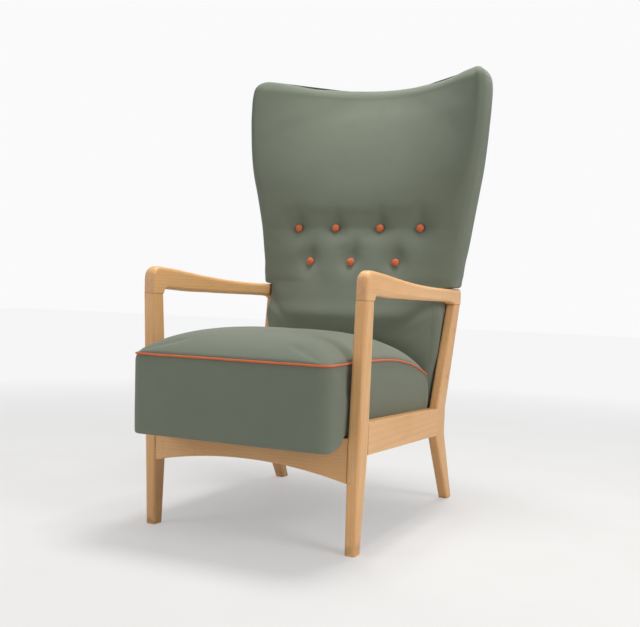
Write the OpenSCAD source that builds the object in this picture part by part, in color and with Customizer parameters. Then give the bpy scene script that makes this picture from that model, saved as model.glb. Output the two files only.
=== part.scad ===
// Fireside chair: a beech frame with open arms, a sprung seat unit and a tall, buttoned wing back.
// Sizes are in millimetres. Z is up, the chair faces -Y and X runs across it.
// Places along Y count from the front face of the front feet. The whole chair is then moved so that
// its depth, from the seat's front to the top of the back, is centred on the origin.

/* [Front legs] */
// Width over the outer faces of the feet
foot_span = 512; // [470:1:560]
// Width over the front posts at the arm joint
front_top_span = 532; // [500:1:580]
// Height of the joint between a front post and its arm
front_joint_h = 517; // [490:1:560]
// Width of a front foot, seen from the front
front_foot_w = 24; // [20:1:32]
// Depth of a front foot, seen from the side
front_foot_d = 31; // [26:1:40]
// Width of a front leg at the rails
front_leg_w = 28; // [26:1:34]
// Depth of a front leg at the rails
front_leg_d = 46; // [38:1:54]
// Width of a front post at the arm joint
front_post_w = 26; // [24:1:32]
// Depth of a front post at the arm joint
front_post_d = 42; // [34:1:50]
// Forward lean of the front face, from the floor to the arm joint
front_lean = 7; // [0:1:14]
// Radius of the rounded edges on legs and posts
edge_r = 6; // [3:0.5:9]

/* [Rear legs] */
// Distance from the front foot's front face to the rear foot's front face
foot_spread = 622; // [560:1:660]
// Distance from the front foot's front face to the rear leg's front face at the rails
rail_spread = 508; // [490:1:530]
// Distance from the front foot's front face to the rear post's front face at the arm joint
post_spread = 569; // [550:1:590]
// Height of the joint between a rear post and its arm
rear_joint_h = 510; // [490:1:540]
// Width over the rear posts at the arm joint
rear_top_span = 542; // [520:1:580]
// Width of the rear legs, seen from the front
rear_leg_w = 25; // [22:1:32]
// Depth of a rear foot, seen from the side
rear_foot_d = 34; // [28:1:42]
// Depth of a rear leg at its kink
rear_kink_d = 64; // [54:1:72]
// Depth of a rear post at the arm joint
rear_post_d = 43; // [36:1:50]

/* [Rails] */
// Height of the side rails' top at the front legs
side_rail_front_h = 271; // [262:1:280]
// Height of the side rails' top at the rear legs
side_rail_rear_h = 250; // [242:1:256]
// Depth of a side rail, top to bottom
side_rail_d = 68; // [56:1:76]
// Thickness of a side rail
side_rail_t = 25; // [20:1:26]
// Height of the front rail's lower edge at the legs
front_rail_h = 148; // [130:1:165]
// Rise of the front rail's arch
front_arch = 27; // [10:1:36]
// Thickness of the front and rear rails
cross_rail_t = 24; // [18:1:26]
// Setback of the front rail from the legs' front faces
front_rail_setback = 3; // [2:1:6]
// Side of a seat cleat's square section
cleat_s = 20; // [16:1:22]
// Leg of a corner block's triangle
block_s = 48; // [36:1:56]
// Height of a corner block
block_h = 26; // [18:1:30]

/* [Arms] */
// Height of an arm's highest point, on its rounded front end
arm_h = 577; // [560:1:610]
// Thickness of an arm at its rear end, top to bottom
arm_rear_t = 38; // [32:1:44]
// Radius of an arm's rounded edges
arm_r = 8; // [4:0.5:10]

/* [Joinery] */
// Diameter of the dowels
dowel_d = 10; // [8:1:12]
// Length of the dowels
dowel_l = 44; // [30:1:50]
// Diameter of the wood screws' shanks
screw_d = 4.5; // [3.5:0.5:5]
// Diameter of the wood screws' heads
screw_head_d = 9; // [8:0.5:10]
// Length of the wood screws in the corner blocks
block_screw_l = 38; // [34:1:42]
// Length of the screws through the rear posts into the back
back_screw_l = 42; // [36:1:48]
// Diameter of the beech plugs over those screws
plug_d = 10; // [10:0.5:12]
// Glue or running clearance of a dowel or screw in its hole
fit_gap = 0.1; // [0.05:0.05:0.2]
// Clearance between pieces that rest on each other
seat_gap = 0.3; // [0.1:0.1:0.5]

/* [Seat] */
// Gap between the seat and each front leg
seat_side_gap = 2.2; // [1:0.2:8]
// Length of the seat unit, front to back
seat_l = 601; // [585:1:603]
// Overhang of the seat in front of the front feet
seat_overhang = 97; // [80:1:110]
// Height of the seat unit's frame above the floor, at its front
seat_base_h = 246; // [242:1:250]
// Fall of the seat from front to back, in degrees
seat_slope = 2.6; // [1:0.1:4]
// Height of the piping above the seat unit's frame, at the front
piping_h = 145; // [120:1:165]
// Fall of the piping at the rear corners, below a straight line
piping_fall = 62; // [30:1:80]
// Crown of the seat above the piping
seat_crown = 56; // [35:1:70]
// Drop of the seat's front edge below its frame
seat_lip = 26; // [18:1:32]
// Radius of the seat's front corners, seen from above
seat_corner_r = 24; // [16:1:34]
// Diameter of the piping
piping_d = 5.4; // [4:0.2:7]
// Thickness of the cover fabric
cover_t = 2.4; // [2:0.2:3]
// Height of the seat's frame boards
board_h = 38; // [30:1:45]
// Thickness of the seat's frame boards
board_t = 22; // [18:1:26]
// Height of the seat's coil springs
spring_h = 92; // [80:1:100]
// Diameter of a coil spring at its ends
spring_d = 84; // [70:1:92]
// Diameter of the spring wire
spring_wire_d = 3.6; // [3:0.2:4.4]
// Turns of a coil spring
spring_turns = 4; // [3:1:5]
// Width of the webbing
web_w = 50; // [40:1:60]
// Thickness of the webbing, the hessian and the dust cover
web_t = 1.8; // [1.4:0.2:2.4]

/* [Back] */
// Height of the chair to the top of its wings
chair_h = 1098; // [1040:1:1140]
// Width over the wings
wing_span = 652; // [614:1:684]
// Depth of the back, from the lumbar bulge to the rear of its top
back_depth = 310; // [280:1:340]
// Distance from the front foot's front face to the lumbar bulge
lumbar_y = 450; // [445:1:460]
// Gap between the back and each rear post
back_gap = 4; // [3:0.5:6]
// Gap between the wings' undersides and the arms
wing_gap = 8; // [5:1:14]
// Sag of the top edge between the wings
top_sag = 9; // [0:1:20]
// Radius of the back's rounded edges
back_edge_r = 16; // [12:1:20]
// Height of the upper row of buttons
button_high_h = 700; // [680:1:720]
// Height of the lower row of buttons
button_low_h = 611; // [600:1:630]
// Distance from the middle to the inner buttons of the upper row
button_inner_x = 63; // [56:1:68]
// Distance from the middle to the outer buttons of the upper row
button_outer_x = 172; // [160:1:180]
// Distance from the middle to the outer buttons of the lower row
button_low_x = 120; // [110:1:130]
// Depth of the tufts at the buttons
tuft_depth = 13; // [6:1:18]
// Reach of the tufts' dimples
tuft_r = 27; // [20:1:34]
// Diameter of a covered button
button_d = 21; // [16:1:26]
// Thickness of a covered button
button_t = 8; // [6:0.5:10]
// Thickness of the back's frame timbers
back_timber_t = 24; // [20:1:28]
// Diameter of the button twine
twine_d = 2; // [1.5:0.5:3]

/* [Hidden] */

// Overrun of a cut past the surface it opens
over = 1;
// Length that stands for none where two faces or edges must not fall together
thin = 0.01;
beech = [0.80, 0.62, 0.42];
beech_dark = [0.70, 0.50, 0.32];
cloth = [0.41, 0.45, 0.39];
orange = [0.80, 0.38, 0.23];
steel_grey = [0.62, 0.63, 0.65];
jute = [0.66, 0.56, 0.40];
felt = [0.86, 0.82, 0.72];
black_cloth = [0.12, 0.12, 0.12];

middle_y = (lumbar_y + back_depth - seat_overhang) / 2;

// Points on each quarter of a rounded rectangle
quarter_steps = 4;

function mix(a, b, t) = a + (b - a) * t;
function reversed(list) = [for (i = [len(list) - 1:-1:0]) list[i]];
function mean(points) = [for (k = [0:2]) sum([for (p = points) p[k]]) / len(points)];
function sum(values, i = 0) = i < len(values) ? values[i] + sum(values, i + 1) : 0;
function clamp(v, low, high) = min(max(v, low), high);

// A rounded rectangle, as points that turn from +X towards +Y, with its own radius below
function rounded(x0, x1, y0, y1, r, r_low = undef) = [
    for (corner = [0:3]) for (k = [0:quarter_steps])
        let (a = 90 * (corner + k / quarter_steps),
             c = corner < 2 || is_undef(r_low) ? r : r_low,
             cx = (corner == 0 || corner == 3) ? x1 - c : x0 + c,
             cy = corner < 2 ? y1 - c : y0 + c)
        [cx + c * cos(a), cy + c * sin(a)]
];

function at_height(points, z) = [for (p = points) [p.x, p.y, z]];

// The triangles between two rings of points, given by the places of their first points. Each
// quad is split along the diagonal that lies lower on the axis, so parallel surfaces split alike.
function band(points, first, next, n, axis) = [
    for (j = [0:n - 1]) let (
            a = first + j, b = next + j, c = next + (j + 1) % n, d = first + (j + 1) % n,
            rising = points[a][axis] + points[c][axis] < points[b][axis] + points[d][axis]
        ) each rising ? [[a, b, c], [a, c, d]] : [[a, b, d], [b, c, d]]
];

// A closed solid through rings of equally many points, from the lowest ring to the highest
module loft(rings) {
    n = len(rings[0]);
    m = len(rings);
    points = [for (ring = rings) each ring];
    polyhedron(
        points = concat(points, [mean(rings[0]), mean(rings[m - 1])]),
        faces = concat(
            [for (i = [0:m - 2]) each band(points, i * n, (i + 1) * n, n, 2)],
            [for (j = [0:n - 1]) [m * n, j, (j + 1) % n]],
            [for (j = [0:n - 1]) [m * n + 1, (m - 1) * n + (j + 1) % n, (m - 1) * n + j]]
        ),
        convexity = 6
    );
}

// A closed band through rings of equally many points, whose last ring meets the first
module loop_loft(rings) {
    n = len(rings[0]);
    m = len(rings);
    points = [for (ring = rings) each ring];
    polyhedron(
        points = points,
        faces = [for (i = [0:m - 1]) each band(points, i * n, ((i + 1) % m) * n, n, 2)],
        convexity = 6
    );
}

// Moves a piece from places counted from the front feet to places about the origin
module placed() {
    translate([0, -middle_y, 0]) children();
}

module both_sides() {
    children();
    mirror([1, 0, 0]) children();
}

// A flat outline of Y and Z, extruded along X
module along_x(x0, x1) {
    translate([x0, 0, 0]) rotate([90, 0, 90]) linear_extrude(x1 - x0) children();
}

// A flat outline of X and Z, extruded along Y
module along_y(y0, y1) {
    translate([0, y1, 0]) rotate([90, 0, 0]) linear_extrude(y1 - y0) children();
}

// Front legs: half span, width, front face and depth by height
front_rail_top_h = seat_base_h - seat_gap
    - sin(seat_slope) * (seat_overhang + front_rail_setback + cross_rail_t);
function front_out(z) = mix(foot_span, front_top_span, z / front_joint_h) / 2;
function front_w(z) = lookup(z, [[0, front_foot_w], [side_rail_front_h - side_rail_d, front_leg_w],
    [side_rail_front_h, front_leg_w], [front_joint_h, front_post_w]]);
function front_d(z) = lookup(z, [[0, front_foot_d], [side_rail_front_h - side_rail_d, front_leg_d],
    [side_rail_front_h, front_leg_d], [front_joint_h, front_post_d]]);
function front_face(z) = -front_lean * z / front_joint_h;
function front_in(z) = front_out(z) - front_w(z);

// Rear legs: the same by height, with the kink between the rail's lower and upper edge
rear_kink_h = side_rail_rear_h - side_rail_d;
function rear_out(z) = mix(foot_span, rear_top_span,
    clamp((z - side_rail_rear_h) / (rear_joint_h - side_rail_rear_h), 0, 1)) / 2;
function rear_in(z) = rear_out(z) - rear_leg_w;
function rear_face(z) = lookup(z, [[0, foot_spread], [rear_kink_h, rail_spread],
    [side_rail_rear_h, rail_spread], [rear_joint_h, post_spread]]);
function rear_d(z) = lookup(z, [[0, rear_foot_d], [rear_kink_h, rear_kink_d],
    [side_rail_rear_h, rear_kink_d], [rear_joint_h, rear_post_d]]);

module front_leg() {
    heights = [0, side_rail_front_h - side_rail_d, side_rail_front_h, front_joint_h];
    loft([for (z = heights) at_height(
        rounded(front_in(z), front_out(z), front_face(z), front_face(z) + front_d(z), edge_r), z)]);
}

module rear_leg() {
    heights = [0, rear_kink_h, side_rail_rear_h, rear_joint_h];
    loft([for (z = heights) at_height(
        rounded(rear_in(z), rear_out(z), rear_face(z), rear_face(z) + rear_d(z), edge_r), z)]);
}

// Dowel places: the middle of each joint and the direction the dowel runs
dowel_drop = side_rail_d / 4;
front_dowel_y = front_face(front_joint_h) + front_post_d / 2;
rear_dowel_y = post_spread + rear_post_d / 2;
dowel_r = dowel_d / 2;
hole_r = dowel_r + fit_gap;

module dowel_pin(r, l) {
    translate([0, 0, -l / 2]) cylinder(h = l, r = r, $fn = 32);
}

// The two dowels of each arm, upright across the post joints
module arm_pins(r, l) {
    translate([front_out(front_joint_h) - front_post_w / 2, front_dowel_y, front_joint_h]) dowel_pin(r, l);
    translate([rear_out(rear_joint_h) - rear_leg_w / 2, rear_dowel_y, rear_joint_h]) dowel_pin(r, l);
}

// The dowels of one end of a cross rail, lying along X
module cross_pins(x, y, zs, r, l) {
    for (z = zs) translate([x, y, z]) rotate([0, 90, 0]) dowel_pin(r, l);
}

// The dowels of one end of a side rail, lying along Y
module side_pins(x, y, zs, r, l) {
    for (z = zs) translate([x, y, z]) rotate([90, 0, 0]) dowel_pin(r, l);
}

front_rail_y0 = front_face(side_rail_front_h - side_rail_d) + front_rail_setback;
front_rail_y = front_rail_y0 + cross_rail_t / 2;
front_rail_zs = [mix(front_rail_h, front_rail_top_h, 0.25), mix(front_rail_h, front_rail_top_h, 0.75)];
rear_rail_y = rail_spread + rear_kink_d / 2;
rear_rail_zs = [rear_kink_h + dowel_drop, side_rail_rear_h - dowel_drop];
cross_dowel_l = dowel_l * 0.8;
side_front_zs = [side_rail_front_h - side_rail_d + dowel_drop, side_rail_front_h - dowel_drop];
side_rear_zs = rear_rail_zs;
side_front_x = front_out(side_rail_front_h) - side_rail_t / 2 - front_rail_setback / 2;
side_rear_x = rear_out(side_rail_rear_h) - side_rail_t / 2;
side_front_y = front_face(side_rail_front_h) + front_leg_d;

module front_rail_pins(r, l) {
    cross_pins(front_in(front_rail_top_h), front_rail_y, front_rail_zs, r, l);
}

module rear_rail_pins(r, l) {
    cross_pins(rear_in(side_rail_rear_h), rear_rail_y, rear_rail_zs, r, l);
}

module front_side_pins(r, l) {
    side_pins(side_front_x, side_front_y, side_front_zs, r, l);
}

module rear_side_pins(r, l) {
    side_pins(side_rear_x, rail_spread, side_rear_zs, r, l);
}

hole_l = dowel_l + 4 * fit_gap;
cross_hole_l = cross_dowel_l + 4 * fit_gap;

// Screws through each rear post into the back's upright, with a plug over the head
back_screw_zs = [mix(side_rail_rear_h, rear_joint_h, 0.3), mix(side_rail_rear_h, rear_joint_h, 0.75)];
plug_l = 7;
function back_screw_y(z) = rear_face(z) + rear_d(z) * 0.55;

module back_screw(z, grow) {
    x = rear_out(z) - plug_l - fit_gap;
    translate([x, back_screw_y(z), z]) rotate([0, -90, 0]) {
        cylinder(h = screw_d, r = screw_head_d / 2 + grow, $fn = 32);
        cylinder(h = back_screw_l + grow, r = screw_d / 2 + grow, $fn = 24);
    }
}

module plug(z, grow) {
    x = rear_out(z) - plug_l;
    translate([x - grow, back_screw_y(z), z]) rotate([0, 90, 0])
        cylinder(h = plug_l + grow, r = plug_d / 2 + grow, $fn = 32);
}

module plug_hole(z) {
    plug(z, fit_gap);
    translate([rear_out(z), back_screw_y(z), z]) rotate([0, 90, 0])
        cylinder(h = over * 4, r = plug_d / 2 + fit_gap, $fn = 32);
}

module front_leg_right() {
    color(beech) difference() {
        front_leg();
        arm_pins(hole_r, hole_l);
        front_rail_pins(hole_r, cross_hole_l);
        front_side_pins(hole_r, hole_l);
    }
}

module rear_leg_right() {
    color(beech) difference() {
        rear_leg();
        arm_pins(hole_r, hole_l);
        rear_rail_pins(hole_r, cross_hole_l);
        rear_side_pins(hole_r, hole_l);
        for (z = back_screw_zs) {
            back_screw(z, fit_gap);
            plug_hole(z);
        }
    }
}

// Arm: stations from front to back, as shares of the arm's length, with shares of its rise
// above the joint line for its top and its underside, of the post's width for its own width,
// and of the edges' radius for the lower edges
arm_front_y = front_face(front_joint_h);
arm_rear_y = post_spread + rear_post_d + arm_rear_t * 0.18;
arm_rear_share = 0.66;
arm_shares = [
    [0.000, 0.50, 0.00, 0.70, 0.1], [0.003, 0.66, 0.00, 0.86, 0.1], [0.008, 0.79, 0.00, 0.95, 0.1],
    [0.016, 0.89, 0.00, 1.00, 0.1], [0.029, 0.97, 0.00, 1.00, 0.1], [0.045, 1.00, 0.00, 1.00, 0.1],
    [0.067, 0.997, 0.00, 1.00, 0.2], [0.073, 0.990, 0.10, 1.00, 0.8], [0.085, 0.983, 0.15, 1.00, 1.0],
    [0.110, 0.970, 0.16, 1.00, 1.0], [0.171, 0.928, 0.14, 1.00, 1.0], [0.220, 0.885, 0.12, 1.00, 1.0],
    [0.273, 0.840, 0.11, 1.00, 1.0], [0.330, 0.793, 0.11, 1.00, 1.0], [0.399, 0.747, 0.11, 1.00, 1.0],
    [0.460, 0.710, 0.10, 1.00, 1.0], [0.533, 0.678, 0.10, 1.00, 1.0], [0.600, 0.655, 0.10, 1.00, 1.0],
    [0.675, 0.637, 0.10, 1.00, 1.0], [0.760, 0.630, 0.10, 1.00, 1.0], [0.856, 0.633, 0.09, 1.00, 1.0],
    [0.895, 0.640, 0.06, 1.00, 0.9], [0.915, 0.645, 0.00, 1.00, 0.3], [0.950, 0.655, 0.00, 1.00, 0.1],
    [0.985, arm_rear_share, 0.00, 1.00, 0.1], [1.000, 0.61, 0.00, 0.84, 0.1]
];
arm_rise = arm_h - front_joint_h;
function arm_joint(y) = lookup(y, [[arm_front_y + front_post_d, front_joint_h], [post_spread, rear_joint_h]]);

module arm() {
    loft(reversed([for (s = arm_shares) let (
            y = mix(arm_front_y, arm_rear_y, s[0]),
            joint = arm_joint(y),
            out = mix(front_top_span, rear_top_span, s[0]) / 2,
            w = front_post_w * s[3],
            mid = out - front_post_w / 2,
            top = joint + arm_rise * s[1],
            low = joint + arm_rise * s[2] + fit_gap,
            r = min(arm_r, w / 2.4)
        )
        [for (p = rounded(mid - w / 2, mid + w / 2, low, top, r, r * s[4])) [p.x, y, p.y]]
    ]));
}

module arm_right() {
    color(beech) difference() {
        arm();
        arm_pins(hole_r, hole_l);
    }
}

// Straight edges on each half of the front rail's arch
arch_steps = 12;
module front_rail_outline() {
    low = front_rail_h;
    half_low = front_in(low) - seat_gap / 2;
    half_mid = front_in(side_rail_front_h - side_rail_d) - seat_gap / 2;
    half_top = front_in(front_rail_top_h) - seat_gap / 2;
    mid = side_rail_front_h - side_rail_d;
    polygon(concat(
        [[half_mid, mid], [half_top, front_rail_top_h], [-half_top, front_rail_top_h], [-half_mid, mid]],
        [for (k = [-arch_steps:arch_steps]) let (u = k / arch_steps)
            [half_low * u, low + front_arch * (1 - u * u)]]
    ));
}

module front_rail() {
    color(beech) difference() {
        along_y(front_rail_y0, front_rail_y0 + cross_rail_t) front_rail_outline();
        both_sides() front_rail_pins(hole_r, cross_hole_l);
        both_sides() front_block_screw(fit_gap);
    }
}

module rear_rail() {
    half = rear_in(rear_kink_h) - seat_gap / 2;
    y0 = rear_rail_y - cross_rail_t / 2;
    color(beech) difference() {
        translate([-half, y0, rear_kink_h]) cube([2 * half, cross_rail_t, side_rail_d]);
        both_sides() rear_rail_pins(hole_r, cross_hole_l);
        both_sides() rear_block_screw(fit_gap);
    }
}

// The side rail's inner face, by the share of the way from the front leg to the rear leg
function side_rail_out(s) = mix(front_out(side_rail_front_h - side_rail_d / 2) - front_rail_setback / 4,
    rear_out(side_rail_rear_h) - thin, s);
side_rail_y0 = side_front_y + seat_gap / 2;
side_rail_y1 = rail_spread - seat_gap / 2;

module side_rail_right() {
    color(beech) difference() {
        loft([for (s = [1, 0]) let (
                y = mix(side_rail_y0, side_rail_y1, s),
                out = side_rail_out(s),
                top = mix(side_rail_front_h, side_rail_rear_h, s)
            )
            [for (p = rounded(out - side_rail_t, out, top - side_rail_d, top, edge_r / 3))
                [p.x, s == 0 ? front_face(p.y) + front_leg_d + seat_gap / 2 : y, p.y]]
        ]);
        front_side_pins(hole_r, hole_l);
        rear_side_pins(hole_r, hole_l);
    }
}

module arm_dowels() {
    color(beech_dark) both_sides() arm_pins(dowel_r, dowel_l);
}

module front_rail_dowels() {
    color(beech_dark) both_sides() front_rail_pins(dowel_r, cross_dowel_l);
}

module rear_rail_dowels() {
    color(beech_dark) both_sides() rear_rail_pins(dowel_r, cross_dowel_l);
}

module side_rail_dowels() {
    color(beech_dark) both_sides() {
        front_side_pins(dowel_r, dowel_l);
        rear_side_pins(dowel_r, dowel_l);
    }
}

// Corner blocks: a triangle glued in each corner and screwed to the cross rail
block_front_h = side_rail_front_h - side_rail_d + seat_gap;
block_rear_h = rear_kink_h + seat_gap;
block_front_x = min(side_rail_out(0) - side_rail_t, front_in(block_front_h)) - seat_gap;
block_rear_x = side_rail_out(1) - side_rail_t - seat_gap;
block_front_y = front_rail_y + cross_rail_t / 2 + seat_gap;
block_rear_y = rear_rail_y - cross_rail_t / 2 - seat_gap;

module corner_block(x, y, z, side) {
    translate([x, y, z]) linear_extrude(block_h)
        polygon([[0, 0], [-block_s, 0], [0, side * block_s]]);
}

// The screw enters at the middle of the block's slanting face
module block_screw(x, y, z, side, grow) {
    m = block_s / 2;
    translate([x - m, y + side * (m + grow), z + block_h / 2]) rotate([side * 90, 0, 0])
        cylinder(h = block_screw_l + 2 * grow, r = screw_d / 2 + grow, $fn = 24);
}

module front_block_screw(grow) {
    block_screw(block_front_x, block_front_y, block_front_h, 1, grow);
}

module rear_block_screw(grow) {
    block_screw(block_rear_x, block_rear_y, block_rear_h, -1, grow);
}

module corner_blocks() {
    color(beech_dark) both_sides() {
        difference() {
            corner_block(block_front_x, block_front_y, block_front_h, 1);
            front_block_screw(fit_gap);
        }
        difference() {
            corner_block(block_rear_x, block_rear_y, block_rear_h, -1);
            rear_block_screw(fit_gap);
        }
    }
}

module corner_block_screws() {
    color(steel_grey) both_sides() {
        front_block_screw(0);
        rear_block_screw(0);
    }
}

// Seat: heights are counted from the plane of its underside, which falls to the rear. It fits
// between the front legs, and between the side rails where those stand closer.
rails_in = min(side_rail_out(0), side_rail_out(1)) - side_rail_t;
legs_in = min(front_in(side_rail_front_h), front_in(seat_base_h + piping_h));
half_seat = min(legs_in - seat_side_gap, rails_in - seat_gap);
seat_w = 2 * half_seat;
seat_y0 = -seat_overhang;
function seat_plane(y) = seat_base_h - tan(seat_slope) * y;
function seat_point(p, h) = [p.x, seat_y0 + p.y, seat_plane(p.y) + h];

// Setback of the border's fabric behind the piping
border_set = piping_d * 0.3;
// Slackness of the border, which bellies out between its two edges
border_belly = cover_t * 0.6;
rear_corner_r = seat_corner_r * 0.4;
web_low = web_t;
board_low = 3 * web_t;
board_top = board_low + board_h;
spring_low = board_low + seat_gap;
hessian_top = spring_low + spring_h + seat_gap + web_t;
ceiling_h = hessian_top + seat_gap;
board_set = border_set + border_belly + cover_t + 2 * seat_gap;
lip_l = seat_overhang - 2 * cover_t;

// Height of the piping above the plane, lower towards the rear corners
function piping_line(y) = piping_h + tan(seat_slope) * y
    - piping_fall * pow(clamp(y / seat_l, 0, 1), 4);
function lip(y) = seat_lip * max(0, 1 - pow(clamp(y / lip_l, 0, 1), 3));

// The seat's outline from above, inset by d, as equally many points for every inset
corner_steps = 4;
rear_steps = 2;
side_shares = [0.12, 0.28, 0.44, 0.60, 0.74, 0.86, 0.94];
front_shares = [-0.7, -0.35, 0, 0.35, 0.7];
rear_shares = [0.33, -0.33];

function corner(x, y, r, from, steps) = [
    for (k = [0:steps]) let (a = from + 90 * k / steps) [x + r * cos(a), y + r * sin(a)]
];

side_ys = concat([mix(seat_corner_r, lip_l, 0.5), lip_l],
    [for (s = side_shares) mix(lip_l, seat_l - rear_corner_r, s)]);

function seat_outline(d) = let (
        w = half_seat - d,
        r = seat_corner_r - d,
        q = rear_corner_r - d,
        xf = half_seat - seat_corner_r,
        xr = half_seat - rear_corner_r
    ) concat(
        corner(xf, seat_corner_r, r, -90, corner_steps),
        [for (y = side_ys) [w, y]],
        corner(xr, seat_l - rear_corner_r, q, 0, rear_steps),
        [for (s = rear_shares) [xr * s, seat_l - d]],
        corner(-xr, seat_l - rear_corner_r, q, 90, rear_steps),
        [for (y = reversed(side_ys)) [-w, y]],
        corner(-xf, seat_corner_r, r, 180, corner_steps),
        [for (s = front_shares) [xf * s, d]]
    );

// Share of the way from the middle of the seat to its edge, squarer than an ellipse
function edge_share(p) = let (
        u = abs(p.x) / half_seat,
        v = 2 * p.y / seat_l - 1,
        rear = v > 0 ? pow(v, 1.1) : -v
    ) min(1, pow(pow(u, 8) + pow(rear, 8), 1 / 8));

// The crown is boxy at the front and softer at the rear
function crown(p) = let (t = clamp(p.y / seat_l, 0, 1))
    seat_crown * pow(max(0, 1 - pow(edge_share(p), mix(6, 3.4, t))), mix(0.65, 0.8, t));

// Rings for lofts: round the outline at a height, or drawn in towards the middle of the seat
function flat_ring(d, h) = [for (p = seat_outline(d)) seat_point(p, h)];
function shrunk(p, s) = [p.x * s, seat_l / 2 + (p.y - seat_l / 2) * s];
function flat_disc(d, s, h) = [for (p = seat_outline(d)) seat_point(shrunk(p, s), h)];
function crown_ring(d, s, lower) = [
    for (p = seat_outline(d)) let (q = shrunk(p, s))
        seat_point(q, piping_line(q.y) + piping_d / 2 + seat_gap + crown(q) - lower)
];

crown_shares = [0.985, 0.95, 0.89, 0.79, 0.64, 0.40];
last_share = 0.1;

module seat_top_cover() {
    edge = border_set + piping_d / 4;
    inner = [for (s = concat([last_share], reversed(crown_shares))) crown_ring(edge + cover_t, s, cover_t)];
    outer = [for (s = concat(crown_shares, [last_share])) crown_ring(edge, s, 0)];
    color(cloth) loft(concat(inner, [crown_ring(edge + cover_t, 1, 0)], [crown_ring(edge, 1, 0)], outer));
}

// A ring round the border, at a share of its height, from its lower edge to just under the piping
function border_ring(d, share) = [
    for (p = seat_outline(d)) let (
            low = -lip(p.y),
            high = piping_line(p.y) - piping_d / 2 - seat_gap
        ) seat_point(p, mix(low, high, share))
];

module seat_border_cover() {
    out = border_set;
    in = out + cover_t;
    b = border_belly;
    color(cloth) loop_loft([
        border_ring(out + b, 0), border_ring(out, 0.35), border_ring(out, 0.65), border_ring(out + b, 1),
        border_ring(in + b, 1), border_ring(in, 0.65), border_ring(in, 0.35), border_ring(in + b, 0)
    ]);
}

module seat_piping() {
    r = piping_d / 2;
    color(orange) loop_loft([
        for (k = [0:7]) let (a = 45 * k - 90)
            [for (p = seat_outline(r * (1 - cos(a)))) seat_point(p, piping_line(p.y) + r * sin(a))]
    ]);
}

// The stuffing: a domed pad over the springs, whose sides stand on the frame boards
module seat_padding() {
    foot = board_set + board_t - 2 * web_t;
    roof = board_set + 2 * board_t;
    d = board_set;
    low = board_top + seat_gap;
    color(felt) loft(concat(
        [flat_disc(roof, last_share, ceiling_h), flat_disc(roof, 1, ceiling_h)],
        [flat_ring(foot, low), flat_ring(d, low)],
        [[for (p = seat_outline(d)) seat_point(p, piping_line(p.y) - piping_d)]],
        [for (s = concat(crown_shares, [last_share])) crown_ring(d, s, cover_t + 3 * seat_gap)]
    ));
}

module seat_hessian() {
    foot = board_set + board_t - 2 * web_t + 2 * seat_gap;
    roof = board_set + 2 * board_t + 2 * seat_gap;
    low = board_top + seat_gap;
    under = hessian_top - web_t;
    color(jute) loft([
        flat_disc(roof + web_t, last_share, under), flat_disc(roof + web_t, 1, under),
        flat_ring(foot + web_t, low), flat_ring(foot, low),
        flat_disc(roof, 1, hessian_top), flat_disc(roof, last_share, hessian_top)
    ]);
}

// A flat slab parallel to the seat's underside
module seat_slab(x0, x1, y0, y1, h0, h1) {
    along_x(x0, x1) polygon([
        for (c = [[y0, h0], [y1, h0], [y1, h1], [y0, h1]]) [seat_y0 + c[0], seat_plane(c[0]) + c[1]]
    ]);
}

board_x = half_seat - board_set;
board_y0 = board_set;
board_y1 = seat_l - board_set;
front_board_x = half_seat - seat_corner_r;
side_board_y0 = board_y0 + board_t + seat_gap;
side_board_y1 = board_y1 - board_t - seat_gap;

module seat_frame_front() {
    color(beech_dark) seat_slab(-front_board_x, front_board_x, board_y0, board_y0 + board_t,
        cover_t - seat_lip, board_top);
}

module seat_frame_rear() {
    x = half_seat - board_set - rear_corner_r / 2;
    color(beech_dark) seat_slab(-x, x, board_y1 - board_t, board_y1, board_low, board_top);
}

module seat_frame_right() {
    color(beech_dark)
        seat_slab(board_x - board_t, board_x, side_board_y0, side_board_y1, board_low, board_top);
}

module seat_frame_left() {
    mirror([1, 0, 0]) seat_frame_right();
}

// Springs stand on the crossings of the webbing, three across and three along
spring_xs = [for (k = [-1:1]) k * seat_w * 0.27];
spring_ys = [for (k = [1:3]) k * seat_l / 4];
web_x = board_x - 2 * web_t;
web_y0 = side_board_y0;

module seat_webbing_lengthwise() {
    color(jute) for (x = spring_xs)
        seat_slab(x - web_w / 2, x + web_w / 2, web_y0, board_y1 - web_t, web_low, web_low + web_t);
}

module seat_webbing_crosswise() {
    color(jute) for (y = spring_ys)
        seat_slab(-web_x, web_x, y - web_w / 2, y + web_w / 2, web_low + web_t, board_low);
}

module seat_dust_cover() {
    x = board_x - web_t;
    color(black_cloth) seat_slab(-x, x, web_y0, board_y1 - web_t, 0, web_t);
}

spring_sides = 5;
spring_steps = 10;

module coil_spring(x, y) {
    n = spring_turns * spring_steps;
    r = spring_wire_d / 2;
    loft([for (i = [0:n]) let (
            t = i / n,
            a = 360 * spring_turns * t,
            ring_r = spring_d / 2 * (1 - 0.3 * sin(180 * t)),
            h = spring_low + r + (spring_h - spring_wire_d) * t
        )
        [for (k = [0:spring_sides - 1]) let (
                b = 360 * k / spring_sides,
                out = ring_r + r * sin(b)
            ) seat_point([x + out * cos(a), y + out * sin(a)], h + r * cos(b))]
    ]);
}

module seat_springs() {
    color(steel_grey) for (x = spring_xs, y = spring_ys) coil_spring(x, y);
}

// Cleats glued along the side rails, between the corner blocks
cleat_y0 = block_front_y + block_s + seat_gap;
cleat_y1 = block_rear_y - block_s - seat_gap;

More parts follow.
